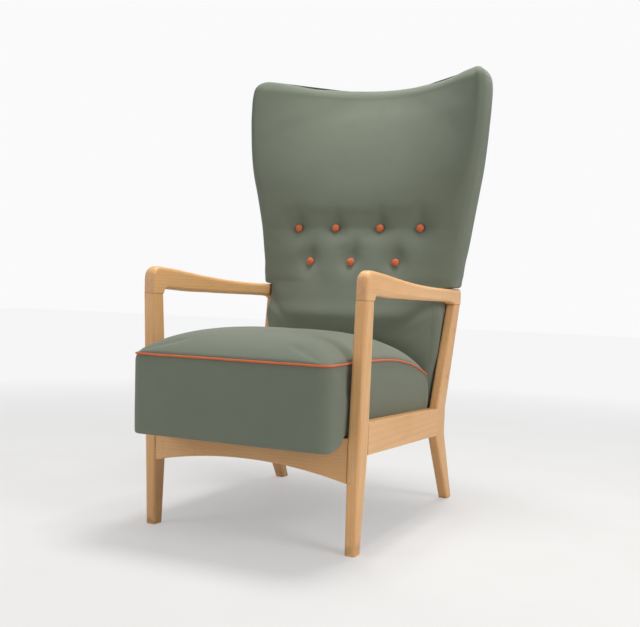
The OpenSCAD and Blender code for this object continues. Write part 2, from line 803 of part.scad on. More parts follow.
module seat_cleats() {
    color(beech_dark) both_sides() loft(reversed([for (y = [cleat_y0, cleat_y1]) let (
            s = (y - side_rail_y0) / (side_rail_y1 - side_rail_y0),
            x = side_rail_out(s) - side_rail_t - seat_gap / 2,
            top = seat_plane(y - seat_y0) - seat_gap
        )
        [[x, y, top], [x - cleat_s, y, top], [x - cleat_s, y, top - cleat_s], [x, y, top - cleat_s]]
    ]));
}

// Back: its rows of points climb from the rear rail to the crest of the wings
back_low_h = side_rail_rear_h + seat_gap;
wing_low_h = rear_joint_h + arm_rise * arm_rear_share + wing_gap;
half_wing = wing_span / 2;

// Shares of the height below the wings, then of the back's depth behind the lumbar bulge:
// front at the middle and at the edge, rear at the middle and at the edge
low_shares = [
    [0.00, 0.205, 0.211, 0.361, 0.361], [0.26, 0.198, 0.216, 0.406, 0.406],
    [0.45, 0.071, 0.232, 0.445, 0.445], [0.58, 0.000, 0.232, 0.471, 0.471],
    [0.71, 0.006, 0.219, 0.497, 0.497], [0.84, 0.071, 0.252, 0.519, 0.519],
    [1.00, 0.140, 0.315, 0.555, 0.548]
];
// The same above the underside of the wings
high_shares = [
    [0.00, 0.142, 0.315, 0.556, 0.545], [0.10, 0.194, 0.335, 0.606, 0.560],
    [0.17, 0.252, 0.335, 0.642, 0.580], [0.26, 0.316, 0.328, 0.684, 0.600],
    [0.355, 0.387, 0.315, 0.729, 0.609], [0.45, 0.455, 0.303, 0.771, 0.593],
    [0.54, 0.523, 0.283, 0.816, 0.571], [0.63, 0.587, 0.274, 0.861, 0.555],
    [0.725, 0.652, 0.270, 0.903, 0.550], [0.82, 0.716, 0.267, 0.948, 0.565],
    [0.89, 0.768, 0.267, 0.984, 0.590], [0.96, 0.806, 0.274, 1.000, 0.605],
    [1.00, 0.815, 0.280, 1.000, 0.610]
];
// Shares of that height and of the half span over the wings
width_shares = [
    [0.000, 0.800], [0.012, 0.824], [0.04, 0.841], [0.10, 0.850], [0.17, 0.866], [0.26, 0.884],
    [0.355, 0.906], [0.45, 0.934], [0.54, 0.962], [0.63, 0.981], [0.725, 0.994], [0.82, 1.000],
    [0.89, 0.998], [0.94, 0.988], [0.968, 0.968], [0.985, 0.942], [1.000, 0.895]
];

function column(table, i) = [for (row = table) [row[0], row[i]]];
function low_part(z) = z < wing_low_h;
function rise(z) = low_part(z)
    ? (z - back_low_h) / (wing_low_h - back_low_h)
    : (z - wing_low_h) / (chair_h - wing_low_h);
function back_share(z, i) = lookup(rise(z), column(low_part(z) ? low_shares : high_shares, i));
function back_at(z, i) = lumbar_y + back_depth * back_share(z, i);
function back_w(z) = low_part(z)
    ? rear_in(min(z, rear_joint_h)) - back_gap
    : half_wing * lookup(rise(z), width_shares);
function bowed(middle, edge, x, z) = middle + (edge - middle) * pow(abs(x) / back_w(z), 2);

button_places = [
    [0, button_low_h], [button_low_x, button_low_h], [-button_low_x, button_low_h],
    [button_inner_x, button_high_h], [-button_inner_x, button_high_h],
    [button_outer_x, button_high_h], [-button_outer_x, button_high_h]
];
function tuft(x, z) = tuft_depth * max([for (b = button_places) exp(-pow(norm([x, z] - b) / tuft_r, 2))]);
function front_y(x, z) = bowed(back_at(z, 1), back_at(z, 2), x, z) + tuft(x, z);
function rear_y(x, z) = bowed(back_at(z, 3), back_at(z, 4), x, z);

// The crest sags between the wings, and the rows below it follow less and less
function sagged(x, z) = z - top_sag * max(0, 1 - pow(x / (0.78 * half_wing), 2))
    * pow(clamp((z - mix(wing_low_h, chair_h, 0.5)) / (chair_h - mix(wing_low_h, chair_h, 0.5)), 0, 1), 2);

// Rows: height, share of the cover's depth by which the row shifts up, and roundness of the top edge
tuft_step = tuft_r * 0.97;
crest_low_h = button_high_h + tuft_step;
wrap_h = mix(crest_low_h, chair_h, 0.914);
wrap_step = seat_gap * 3;
bottom_round = 0.15;
rows_low = concat(
    [[back_low_h, 1, bottom_round], [back_low_h + back_edge_r / 3, 0, 0]],
    [for (s = [0.26, 0.45, 0.58, 0.71, 0.84]) [mix(back_low_h, wing_low_h, s), 0, 0]],
    [[wing_low_h - cover_t, 1, 0]]
);
rows_mid = concat(
    [[wing_low_h, 1, 0], [mix(wing_low_h, button_low_h - tuft_step, 0.25), 1, 0]],
    [for (k = [-1:1]) [button_low_h + k * tuft_step, 0, 0]],
    [for (k = [-1:1]) [button_high_h + k * tuft_step, 0, 0]],
    [for (s = [0.10, 0.25, 0.40, 0.55, 0.70, 0.83]) [mix(crest_low_h, chair_h, s), 0, 0]],
    [[wrap_h, 0, 0]]
);
rows_top = [for (s = [[0.951, -0.3, 0.10], [0.978, -0.6, 0.30], [0.993, -0.9, 0.60], [1, -1, 0.85]])
    [mix(crest_low_h, chair_h, s[0]), s[1], s[2]]];
// The stuffing keeps a little lower than the cover at the crest
pad_rows_top = [for (row = rows_top) [row[0], row[1] * 1.6, row[2]]];
cover_rows = concat(rows_low, rows_mid, rows_top);
pad_rows = concat(rows_low, rows_mid, [[wrap_h + wrap_step, -0.05, 0]], pad_rows_top);

// Depths under the outside back: timbers, webbing, then room for both behind the stuffing
timber_in = cover_t * 1.9;
timber_out = timber_in + back_timber_t;
strap_in = timber_out + 2 * seat_gap;
layer_d = strap_in + 2 * web_t;
crest_d = cover_t * 1.1;
function half_depth(x, z) = (rear_y(x, z) - front_y(x, z)) / 2;
function edge_round(z, round) = (1 - round)
    * min(back_edge_r, 0.8 * (back_at(z, 4) - back_at(z, 2) - layer_d));

inner_xs = [
    0, button_inner_x / 2, button_inner_x, (button_inner_x + button_low_x) / 2, button_low_x,
    (button_low_x + button_outer_x) / 2, button_outer_x, button_outer_x + tuft_r
];

// A list of points for the right half, given from the middle outwards, and its mirror image
function whole(half) = concat(
    [for (i = [len(half) - 1:-1:1]) [-half[i].x, half[i].y, half[i].z]],
    half
);
function row_point(x, y, row, d) = [x, y, sagged(x, row[0]) + d * row[1]];
function sunk(x, row, d) = d + row[2] * (half_depth(x, row[0]) - d);

// The front from the middle round the edge, at depth d under the cover's face
function front_half(row, d) = let (
        z = row[0],
        w = back_w(z) - d,
        r = max(edge_round(z, row[2]) - d, thin),
        e = w - r,
        y = front_y(e, z) + sunk(e, row, d)
    ) concat(
        [for (x = inner_xs) row_point(x, front_y(x, z) + sunk(x, row, d), row, d)],
        [row_point(e, y, row, d)],
        [row_point(e + r * sin(45), y + r * (1 - cos(45)), row, d)],
        [row_point(w, y + r, row, d)]
    );

// The end of the cover's side band, flush with the rear
function side_end(row, d) = let (z = row[0], w = back_w(z))
    [row_point(w - d, rear_y(w, z) - sunk(w, row, 0), row, d)];

// The rear of the stuffing, in front of the timbers, or over them at the crest
function stuffing_half(row, d) = let (
        z = row[0],
        w = back_w(z) - d,
        r = max(edge_round(z, row[2]) - d, thin),
        over_rail = z > wrap_h
    )
    [for (x = concat(inner_xs, [w - r, w - r + r * sin(45), w]))
        row_point(x, rear_y(x, z) - (over_rail ? sunk(x, row, d) + crest_d : layer_d), row, d)];

// A closed solid through rows, each a list of points at the front and one at the rear
module slab_loft(fronts, rears) {
    m = len(fronts[0]);
    n = 2 * m;
    last = (len(fronts) - 1) * n;
    points = [for (i = [0:len(fronts) - 1]) each concat(fronts[i], reversed(rears[i]))];
    polyhedron(
        points = points,
        faces = concat(
            [for (i = [0:len(fronts) - 2]) each band(points, i * n, (i + 1) * n, n, 1)],
            [for (j = [0:m - 2]) each [[j, j + 1, n - 2 - j], [j, n - 2 - j, n - 1 - j]]],
            [for (j = [0:m - 2]) each [[last + j, last + n - 2 - j, last + j + 1],
                [last + j, last + n - 1 - j, last + n - 2 - j]]]
        ),
        convexity = 8
    );
}

module twine_holes() {
    for (b = button_places) translate([b.x, front_y(b.x, b.y), b.y]) rotate([-90, 0, 0])
        translate([0, 0, -back_edge_r]) cylinder(h = back_depth / 2, r = twine_d / 2 + fit_gap, $fn = 16);
}

module back_padding() {
    d = cover_t + 3 * seat_gap;
    color(felt) difference() {
        slab_loft(
            [for (row = pad_rows) whole(front_half(row, d))],
            [for (row = pad_rows) whole(stuffing_half(row, d))]
        );
        twine_holes();
    }
}

module back_cover() {
    color(cloth) difference() {
        slab_loft(
            [for (row = cover_rows) whole(concat(front_half(row, 0), side_end(row, 0)))],
            [for (row = cover_rows) whole(concat(front_half(row, cover_t), side_end(row, cover_t)))]
        );
        twine_holes();
        both_sides() for (z = back_screw_zs) back_screw(z, fit_gap);
    }
}

// The outside back: its top edge laps over the crest to meet the inside cover
rear_cover_shares = [0, 0.2, 0.4, 0.6, 0.8, 1];
crest_lap = 0.25;

function rear_cover_w(z) = min(back_w(z), z > wing_low_h + thin ? half_wing : back_w(wing_low_h - thin))
    - cover_t - 4 * seat_gap;

// The cover's rows, square at the bottom and reaching further over at the crest
rear_rows = [for (i = [0:len(cover_rows) - 1]) let (
        row = cover_rows[i],
        round = i == 0 ? 0 : i == len(cover_rows) - 1 ? row[2] + crest_lap : row[2]
    ) [row[0], row[1], round]];

function rear_half(row, d) = [
    for (s = rear_cover_shares) let (x = s * rear_cover_w(row[0]))
        row_point(x, rear_y(x, row[0]) - sunk(x, row, d), row, d)
];

module outside_back_cover() {
    color(cloth) slab_loft(
        [for (row = rear_rows) whole(rear_half(row, cover_t))],
        [for (row = rear_rows) whole(rear_half(row, 0))]
    );
}

// Timbers lie just inside the outside back cover and follow its curves
heights_apart = back_edge_r / 4;
function heights(z0, z1) = concat(
    [z0],
    [for (row = cover_rows) if (row[0] > z0 + heights_apart && row[0] < z1 - heights_apart) row[0]],
    [z1]
);
function timber_ring(x0, x1, z, near, far) = [
    [x0, rear_y(x0, z) - far, sagged(x0, z)], [x1, rear_y(x1, z) - far, sagged(x1, z)],
    [x1, rear_y(x1, z) - near, sagged(x1, z)], [x0, rear_y(x0, z) - near, sagged(x0, z)]
];

upright_top = wing_low_h + back_timber_t * 0.8;
wing_board_w = back_timber_t * 1.6;
function upright_out(z) = rear_in(min(z, rear_joint_h)) - back_gap - cover_t - 2 * seat_gap;
function wing_out(z) = back_w(z) - 3 * cover_t;
function wing_in(z) = wing_out(z) - wing_board_w;
timber_top = wrap_h - 3 * seat_gap;

module back_upright_right() {
    color(beech_dark) difference() {
        loft([for (z = heights(back_low_h, upright_top))
            timber_ring(upright_out(z) - back_timber_t, upright_out(z), z, timber_in, timber_out)]);
        for (z = back_screw_zs) back_screw(z, fit_gap);
    }
}

module back_upright_left() {
    mirror([1, 0, 0]) back_upright_right();
}

module wing_frame_right() {
    color(beech_dark) loft([for (z = heights(upright_top + seat_gap, timber_top))
        timber_ring(wing_in(z), wing_out(z), z, timber_in, timber_out)]);
}

module wing_frame_left() {
    mirror([1, 0, 0]) wing_frame_right();
}

// A rail across the back, through stations along X
rail_steps = 8;
module cross_timber(half, z0, z1) {
    zs = heights(z0, z1);
    color(beech_dark) loft([for (k = [-rail_steps:rail_steps]) let (x = half * k / rail_steps)
        concat(
            [for (z = zs) [x, rear_y(x, z) - timber_in, sagged(x, z)]],
            [for (z = reversed(zs)) [x, rear_y(x, z) - timber_out, sagged(x, z)]]
        )
    ]);
}

back_rail_d = back_timber_t * 1.8;

module back_bottom_rail() {
    z = back_low_h + back_edge_r / 3;
    cross_timber(upright_out(z) - back_timber_t - seat_gap, z, z + back_rail_d);
}

module back_middle_rail() {
    z = wing_low_h - back_rail_d;
    cross_timber(upright_out(z) - back_timber_t - seat_gap, z, wing_low_h - 2 * cover_t);
}

module back_top_rail() {
    z = timber_top - back_rail_d;
    cross_timber(wing_in(timber_top) - seat_gap, z, timber_top);
}

back_web_w = web_w * 1.2;
strap_xs = [0, button_inner_x, -button_inner_x, (button_low_x + button_outer_x) / 2,
    -(button_low_x + button_outer_x) / 2];
strap_low = back_low_h + back_edge_r / 3;

module back_webbing() {
    half = back_web_w / 2 - seat_gap;
    color(jute) for (x = strap_xs) loft([for (z = heights(strap_low, timber_top))
        timber_ring(x - half, x + half, z, strap_in, strap_in + web_t)]);
}

// Buttons: a domed face over a shallower dome that beds in its dimple
button_r = button_d / 2;
function slope_at(b) = atan2(front_y(b.x, b.y + tuft_step) - front_y(b.x, b.y - tuft_step), 2 * tuft_step);

module dome(h) {
    ball = (button_r * button_r + h * h) / (2 * h);
    intersection() {
        translate([0, 0, h - ball]) sphere(ball, $fn = 64);
        cylinder(h = h + over, r = button_r + over, $fn = 48);
    }
}

back_dome = button_t * 0.42;
front_dome = button_t - back_dome;

module buttons() {
    color(orange) for (b = button_places)
        translate([b.x, front_y(b.x, b.y) - back_dome - 5 * seat_gap, b.y]) rotate([90 - slope_at(b), 0, 0]) {
            dome(front_dome);
            translate([0, 0, -back_dome]) cylinder(h = back_dome, r1 = twine_d / 2, r2 = button_r, $fn = 48);
        }
}

module button_twines() {
    color(jute) for (b = button_places) {
        y0 = front_y(b.x, b.y) + seat_gap;
        y1 = rear_y(b.x, b.y) - strap_in - web_t - 2 * seat_gap;
        translate([b.x, y0, b.y]) rotate([-90, 0, 0]) cylinder(h = y1 - y0, r = twine_d / 2, $fn = 16);
    }
}

module back_screws() {
    color(steel_grey) both_sides() for (z = back_screw_zs) back_screw(z, 0);
}

module post_plugs() {
    color(beech_dark) both_sides() for (z = back_screw_zs) plug(z, 0);
}

module front_leg_left() {
    mirror([1, 0, 0]) front_leg_right();
}

module rear_leg_left() {
    mirror([1, 0, 0]) rear_leg_right();
}

module arm_left() {
    mirror([1, 0, 0]) arm_right();
}

module side_rail_left() {
    mirror([1, 0, 0]) side_rail_right();
}

placed() front_leg_left();
placed() front_leg_right();
placed() rear_leg_left();
placed() rear_leg_right();
placed() arm_left();
placed() arm_right();
placed() front_rail();
placed() rear_rail();
placed() side_rail_left();
placed() side_rail_right();
placed() arm_dowels();
placed() front_rail_dowels();
placed() rear_rail_dowels();
placed() side_rail_dowels();
placed() corner_blocks();
placed() corner_block_screws();
placed() seat_cleats();
placed() seat_frame_front();
placed() seat_frame_rear();
placed() seat_frame_left();
placed() seat_frame_right();
placed() seat_webbing_lengthwise();
placed() seat_webbing_crosswise();
placed() seat_springs();
placed() seat_hessian();
placed() seat_padding();
placed() seat_top_cover();
placed() seat_border_cover();
placed() seat_piping();
placed() seat_dust_cover();
placed() back_upright_left();
placed() back_upright_right();
placed() wing_frame_left();
placed() wing_frame_right();
placed() back_bottom_rail();
placed() back_middle_rail();
placed() back_top_rail();
placed() back_webbing();
placed() back_padding();
placed() back_cover();
placed() outside_back_cover();
placed() buttons();
placed() button_twines();
placed() back_screws();
placed() post_plugs();
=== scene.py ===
import math

import bmesh
import bpy
import numpy as np
from mathutils import Matrix, Vector, noise


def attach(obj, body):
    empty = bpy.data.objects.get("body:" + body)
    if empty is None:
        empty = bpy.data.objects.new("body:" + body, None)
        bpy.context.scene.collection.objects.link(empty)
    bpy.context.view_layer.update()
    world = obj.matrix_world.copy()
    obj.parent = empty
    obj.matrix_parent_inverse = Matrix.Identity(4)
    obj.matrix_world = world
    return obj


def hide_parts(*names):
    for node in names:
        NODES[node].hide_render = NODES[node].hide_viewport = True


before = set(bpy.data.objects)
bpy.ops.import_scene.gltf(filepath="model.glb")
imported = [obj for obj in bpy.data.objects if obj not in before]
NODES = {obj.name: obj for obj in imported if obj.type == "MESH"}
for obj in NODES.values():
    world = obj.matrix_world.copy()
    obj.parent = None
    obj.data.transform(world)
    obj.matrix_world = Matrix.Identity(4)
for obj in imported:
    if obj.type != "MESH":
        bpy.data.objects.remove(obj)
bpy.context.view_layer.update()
MM = 0.001

# Places along Y count from the front face of the front feet, in millimetres, as in the part's source.
MIDDLE_Y = 331.5

# Seat
SEAT_HALF = 230.7
SEAT_L = 601.0
SEAT_OVERHANG = 97.0
SEAT_BASE_H = 246.0
SEAT_SLOPE = math.tan(math.radians(2.6))
SEAT_CORNER = 24.0
REAR_CORNER = 20.0
SEAT_CROWN = 56.0
SEAT_LIP = 26.0
LIP_L = 92.2
PIPING_H = 145.0
PIPING_FALL = 62.0
PIPING_R = 2.25
PIPING_SIDES = 12
PIPING_STEP = 4.0
REAR_BULGE = 5.0
REAR_BULGE_L = 60.0

# Seat border: the press of the front legs, less deep where the seat frame's board backs the cloth
LEG_NOTCH = 6.5
BOARD_NOTCH = 4.2
BOARD_TOP = 75.0
BOARD_EASE = 20.0
NOTCH_FROM, NOTCH_RISE = 74.0, 14.0
NOTCH_TO, NOTCH_FALL = 150.0, 40.0
NOTCH_SEAM_EASE = 16.0

# Seat border: insets and heights of its turn to the underside
UNDER_INSET = 9.5
UNDER_RISE = 1.8
LIP_INSET = 20.0
LOW_TURN = ((6.5, 0.0), (2.6, 1.1), (0.7, 4.0))
SEAM_INSET = 3.4
SEAM_GAP = 1.2
SEAM_PULL_SHARE = 0.07
BORDER_BOW = 0.6

# Seat rings
SEAT_STEP = 8.0
BORDER_RINGS = 22
TOP_RINGS = 34
TOP_REACH = 0.97
TOP_EASE = 1.6
SEAM_RISE = 1.4
TOP_RISE = PIPING_R + 0.3

# Back
BACK_LOW_H = 250.3
WING_LOW_H = 557.6
WING_FOOT_H = 551.0
CREST_LOW_H = 1066.0
CHAIR_H = 1098.0
HALF_WING = 326.0
LUMBAR_Y = 450.0
BACK_DEPTH = 310.0
EDGE_R = 16.0
LEAST_ROOM = 35.0
COVER_T = 2.4
REAR_GAP = COVER_T + 0.6
LOW_HALF = (227.0, 242.0)
LOW_HALF_FROM, LOW_HALF_L = 250.0, 260.0
BOW_FROM, BOW_L = 430.0, 220.0
SIDE_FULLNESS = 1.6

# Crest: the middle sags, the ears' tips rise, and the ridge lies further back at the ears
SAG_FROM_H = 827.8
TOP_SAG = 11.0
SAG_HALF_SHARE = 0.78
EAR_RISE = 6.0
RIDGE_MIDDLE, RIDGE_EAR = 0.5, 0.78
CREST_STEPS = 12
CREST_CLOSED = 0.985

# Back's padding
TUFT_DEPTH = 13.0
TUFT_R = 27.0
UPPER_BUTTONS_H = 700.0
PAD_SWELL = 24.0
FRONT_FULLNESS = 6.0
FULL_FROM, FULL_RISE = 330.0, 60.0
FULL_TO, FULL_FALL = 508.0, 30.0
FOLDS_FROM, FOLDS_TO = 380.0, 545.0
FOLDS_EASE = 40.0
FOLDS_H, FOLDS_X, FOLDS_HALF, FOLDS_SLANT = 462.0, 198.0, 42.0, 0.8

# Folds by offset, reach and rise, then creases along the buttons' rows by height, reach and depth
FOLDS = ((0, 11, 3.4), (24, 13, -2.6), (-34, 12, 1.6))
CREASES = ((703, 30, 4.2), (611, 26, 2.6))
CREASE_HALF = 225.0

# Pulls above the buttons: depth, height, the part near the button that stays clear, and half width
PULL_DEPTH = 6.5
PULL_H, PULL_CLEAR, PULL_HALF = 48.0, 14.0, 15.0

# Back's rows
ROW_STEP = 8.0
FRONT_STEPS = 44
ARC_STEPS = 6
SIDE_STEPS = 8
REAR_STEPS = 22
TURN_STEPS = 5
LOW_TURN_R = 5.0
FOOT_R = 9.0
FOOT_EASE_FROM, FOOT_EASE_L = 140.0, 95.0

# Buttons: places by x and height, and a dome's shares of its radius with heights above its plane
BUTTONS = ((0, 611), (120, 611), (-120, 611), (63, 700), (-63, 700), (172, 700), (-172, 700))
BUTTON_R = 10.0
BUTTON_SINK = 4.6
BUTTON_TURNS = 40
BUTTON_DOME = (
    (0.02, 5.6), (0.25, 5.4), (0.5, 4.7), (0.72, 3.6), (0.88, 2.2), (0.97, 0.9), (1.0, -0.2),
    (0.9, -1.8), (0.55, -2.8),
)

# Joints that show as lines, in metres: height, lowest y, highest y and softness. Then an arm's end.
FRONT_JOINT = (0.51705, -0.36, -0.29, 0.0009)
REAR_JOINT = (0.51005, 0.23, 0.30, 0.0009)
ARM_END = (-0.331, -0.344)

# The outside back as it was cut, in metres, and the panel's inset, columns and turn over the crest
REAR_INSET = 3.2
REAR_COLUMNS = 61
REAR_TURN = math.radians(48)
REAR_TURN_STEPS = 8

# Cloth simulation: frames, each cushion's pressure and furthest move in metres, and what is held of
# the back: its lowest rows and the cloth within this radius of a button
CLOTH_FRAMES = 20
SEAT_PUFF = (0.9, 0.003)
BACK_PUFF = (0.5, 0.0018)
HELD_ROWS = 8
HELD_R = 9.0

# Height, then shares of the back's depth: front centre, front edge, rear centre, rear edge.
LOW_SHARES = (
    (0.00, 0.205, 0.211, 0.361, 0.361), (0.26, 0.198, 0.216, 0.406, 0.406),
    (0.45, 0.071, 0.232, 0.445, 0.445), (0.58, 0.000, 0.232, 0.471, 0.471),
    (0.71, 0.006, 0.219, 0.497, 0.497), (0.84, 0.071, 0.262, 0.519, 0.519),
    (1.00, 0.140, 0.306, 0.555, 0.548),
)
HIGH_SHARES = (
    (0.10, 0.194, 0.335, 0.606, 0.560), (0.17, 0.252, 0.335, 0.642, 0.580),
    (0.26, 0.316, 0.328, 0.684, 0.600), (0.355, 0.387, 0.315, 0.729, 0.609),
    (0.45, 0.455, 0.303, 0.771, 0.593), (0.54, 0.523, 0.283, 0.816, 0.571),
    (0.63, 0.587, 0.274, 0.861, 0.555), (0.725, 0.652, 0.270, 0.903, 0.550),
    (0.82, 0.716, 0.267, 0.948, 0.565), (0.89, 0.768, 0.267, 0.984, 0.590),
    (0.96, 0.806, 0.274, 1.000, 0.605), (1.00, 0.815, 0.280, 1.000, 0.610),
)
WIDTH_SHARES = (
    (0.000, 0.800), (0.012, 0.824), (0.04, 0.841), (0.10, 0.850), (0.17, 0.866), (0.26, 0.884),
    (0.355, 0.906), (0.45, 0.934), (0.54, 0.962), (0.63, 0.981), (0.725, 0.994), (0.82, 1.000),
    (0.89, 0.998), (0.94, 0.988), (0.968, 0.968), (0.985, 0.942), (1.000, 0.895),
)


def mix(a, b, t):
    return a + (b - a) * t


def clamp(t):
    return min(max(t, 0.0), 1.0)


def smooth_step(t):
    t = clamp(t)
    return t * t * (3 - 2 * t)


def hump(t):
    return math.exp(-(t**2))


def smooth_curve(xs, ys):
    """A function through the points that keeps to their rises and falls, with no overshoot."""
    xs, ys = np.asarray(xs, float), np.asarray(ys, float)
    h = np.diff(xs)
    slope = np.diff(ys) / h
    m = np.zeros(len(xs))
    m[0], m[-1] = slope[0], slope[-1]
    for i in range(1, len(xs) - 1):
        if slope[i - 1] * slope[i] > 0:
            w1, w2 = 2 * h[i] + h[i - 1], h[i] + 2 * h[i - 1]
            m[i] = (w1 + w2) / (w1 / slope[i - 1] + w2 / slope[i])

    def value(x):
        x = min(max(x, xs[0]), xs[-1])
        i = min(int(np.searchsorted(xs, x, side="right")) - 1, len(h) - 1)
        t = (x - xs[i]) / h[i]
        return float(
            (2 * t**3 - 3 * t**2 + 1) * ys[i] + (t**3 - 2 * t**2 + t) * h[i] * m[i]
            + (3 * t**2 - 2 * t**3) * ys[i + 1] + (t**3 - t**2) * h[i] * m[i + 1]
        )

    return value


# Meshes
def mesh_object(name, points, faces, uvs=None):
    """A smooth-shaded mesh from points in millimetres. uvs holds one pair for each face corner."""
    mesh = bpy.data.meshes.new(name)
    mesh.from_pydata([(x * MM, (y - MIDDLE_Y) * MM, z * MM) for x, y, z in points], [], faces)
    mesh.update()
    mesh.shade_smooth()
    if uvs is not None:
        layer = mesh.uv_layers.new(name="Cloth")
        layer.uv.foreach_set("vector", np.asarray(uvs, np.float32).ravel())
    obj = bpy.data.objects.new(name, mesh)
    bpy.context.scene.collection.objects.link(obj)
    return obj


def ring_faces(rings, n):
    """Quads between rings of n points each, rings given as the numbers of their first points."""
    faces = []
    for a, b in zip(rings, rings[1:]):
        for j in range(n):
            k = (j + 1) % n
            faces.append((a + j, a + k, b + k, b + j))
    return faces


def vertex_values(obj, name):
    values = np.empty(len(obj.data.vertices) * 3)
    obj.data.vertices.foreach_get(name, values)
    return values.reshape(-1, 3)


def set_coords(obj, co):
    obj.data.vertices.foreach_set("co", co.astype(np.float32).ravel())
    obj.data.update()


def open_poles(obj, poles):
    """Takes out the points where a fan of faces meets, which a subdivision would be slow on."""
    bm = bmesh.new()
    bm.from_mesh(obj.data)
    bm.verts.ensure_lookup_table()
    bmesh.ops.delete(bm, geom=[bm.verts[i] for i in poles], context="VERTS")
    bm.to_mesh(obj.data)
    bm.free()


def close_poles(obj):
    """Fills each hole with one flat face, whose cloth runs on from the faces round it."""
    bm = bmesh.new()
    bm.from_mesh(obj.data)
    layer = bm.loops.layers.uv["Cloth"]
    edges = [e for e in bm.edges if e.is_boundary]
    for face in bmesh.ops.holes_fill(bm, edges=edges, sides=0)["faces"]:
        face.smooth = True
        for loop in face.loops:
            x, y, _ = loop.vert.co
            loop[layer].uv = (x, y + (MIDDLE_Y + SEAT_OVERHANG) * MM)
    bm.to_mesh(obj.data)
    bm.free()


def subdivide(obj):
    mod = obj.modifiers.new("subdivision", "SUBSURF")
    mod.levels = 1
    mod.render_levels = 1
    bpy.context.view_layer.update()
    evaluated = obj.evaluated_get(bpy.context.evaluated_depsgraph_get())
    mesh = bpy.data.meshes.new_from_object(evaluated)
    obj.modifiers.clear()
    old = obj.data
    obj.data = mesh
    bpy.data.meshes.remove(old)
    obj.data.shade_smooth()


def add_cloth(obj, held, pressure):
    group = obj.vertex_groups.new(name="held")
    group.add([int(i) for i in held], 1.0, "REPLACE")
    mod = obj.modifiers.new("cloth", "CLOTH")
    cloth = mod.settings
    cloth.quality = 6
    cloth.mass = 0.3
    cloth.tension_stiffness = 12
    cloth.compression_stiffness = 8
    cloth.shear_stiffness = 5
    cloth.bending_stiffness = 0.6
    cloth.vertex_group_mass = "held"
    cloth.use_pressure = True
    cloth.uniform_pressure_force = pressure
    cloth.effector_weights.gravity = 0
    mod.collision_settings.use_collision = False
    mod.point_cache.frame_start = 1
    mod.point_cache.frame_end = CLOTH_FRAMES


def puff(obj, held, pressure, cap):
    """Inflates a closed cloth whose held points stay, and lets no point move further than cap metres."""
    scene = bpy.context.scene
    add_cloth(obj, held, pressure)
    for f in range(1, CLOTH_FRAMES + 1):
        scene.frame_set(f)
    evaluated = obj.evaluated_get(bpy.context.evaluated_depsgraph_get())
    moved = vertex_values(evaluated, "co")
    obj.modifiers.clear()
    scene.frame_set(1)
    start = vertex_values(obj, "co")
    step = moved - start
    length = np.linalg.norm(step, axis=1, keepdims=True)
    print(f"{obj.name}: cloth moved {1000 * length.mean():.1f} mm, at most {1000 * length.max():.1f}")
    step *= cap * np.tanh(length / cap) / np.maximum(length, 1e-9)
    set_coords(obj, start + step)
    obj.vertex_groups.clear()


# Seat
def seat_point(x, y, h):
    return (x, y - SEAT_OVERHANG, SEAT_BASE_H - SEAT_SLOPE * y + h)


def piping_line(y):
    """Height of the seam above the seat's plane, which falls towards the rear."""
    return PIPING_H + SEAT_SLOPE * y - PIPING_FALL * clamp(y / SEAT_L) ** 4


def lip(y):
    """How far the border hangs below the seat's plane, over the front rail."""
    return SEAT_LIP * (1 - clamp(y / LIP_L) ** 3)


def notch(x, y, h):
    """How far the border is pressed in beside the front legs, less where the frame's board backs it."""
    if abs(x) < SEAT_HALF - SEAT_CORNER:
        return 0.0
    along = smooth_step((y - NOTCH_FROM) / NOTCH_RISE) * (1 - smooth_step((y - NOTCH_TO) / NOTCH_FALL))
    depth = mix(BOARD_NOTCH, LEG_NOTCH, smooth_step((h - BOARD_TOP) / BOARD_EASE))
    return depth * along * smooth_step((piping_line(y) - h) / NOTCH_SEAM_EASE)


def rear_bulge(y, s):
    """How far the border swells out at the rear, by the share of the way up."""
    return REAR_BULGE * math.sin(math.pi * s) * smooth_step((y - SEAT_L + REAR_BULGE_L) / REAR_BULGE_L)


def seat_outline(step):
    """Points round the seat's edge from above, with the outward direction of each, anticlockwise."""
    out = []

    def side(x0, y0, x1, y1, nx, ny):
        n = max(1, round(math.hypot(x1 - x0, y1 - y0) / step))
        out.extend((mix(x0, x1, k / n), mix(y0, y1, k / n), nx, ny) for k in range(n))

    def corner(cx, cy, r, start):
        n = max(4, round(r * math.pi / 2 / (step * 0.6)))
        for k in range(n):
            a = math.radians(start + 90 * k / n)
            out.append((cx + r * math.cos(a), cy + r * math.sin(a), math.cos(a), math.sin(a)))

    f, r, w = SEAT_CORNER, REAR_CORNER, SEAT_HALF
    side(-w + f, 0, w - f, 0, 0, -1)
    corner(w - f, f, f, -90)
    side(w, f, w, SEAT_L - r, 1, 0)
    corner(w - r, SEAT_L - r, r, 0)
    side(w - r, SEAT_L, -w + r, SEAT_L, 0, 1)
    corner(-w + r, SEAT_L - r, r, 90)
    side(-w, SEAT_L - r, -w, f, -1, 0)
    corner(-w + f, f, f, 180)
    return out


def arc_lengths(outline):
    """Length along the outline to each of its points, and the whole way round."""
    arc = [0.0]
    for (x0, y0, *_), (x1, y1, *_) in zip(outline, outline[1:] + outline[:1]):
        arc.append(arc[-1] + math.hypot(x1 - x0, y1 - y0))
    return arc[:-1], arc[-1]


def crown(x, y):
    """How far the top stands above the seam: flat in the middle, steep near the edges."""
    u = abs(x) / SEAT_HALF
    v = 2 * y / SEAT_L - 1
    v = v**1.1 if v > 0 else -v
    s = min(1.0, (u**16 + v**16) ** (1 / 16))
    return SEAT_CROWN * (1 - s**3.2) ** 0.8


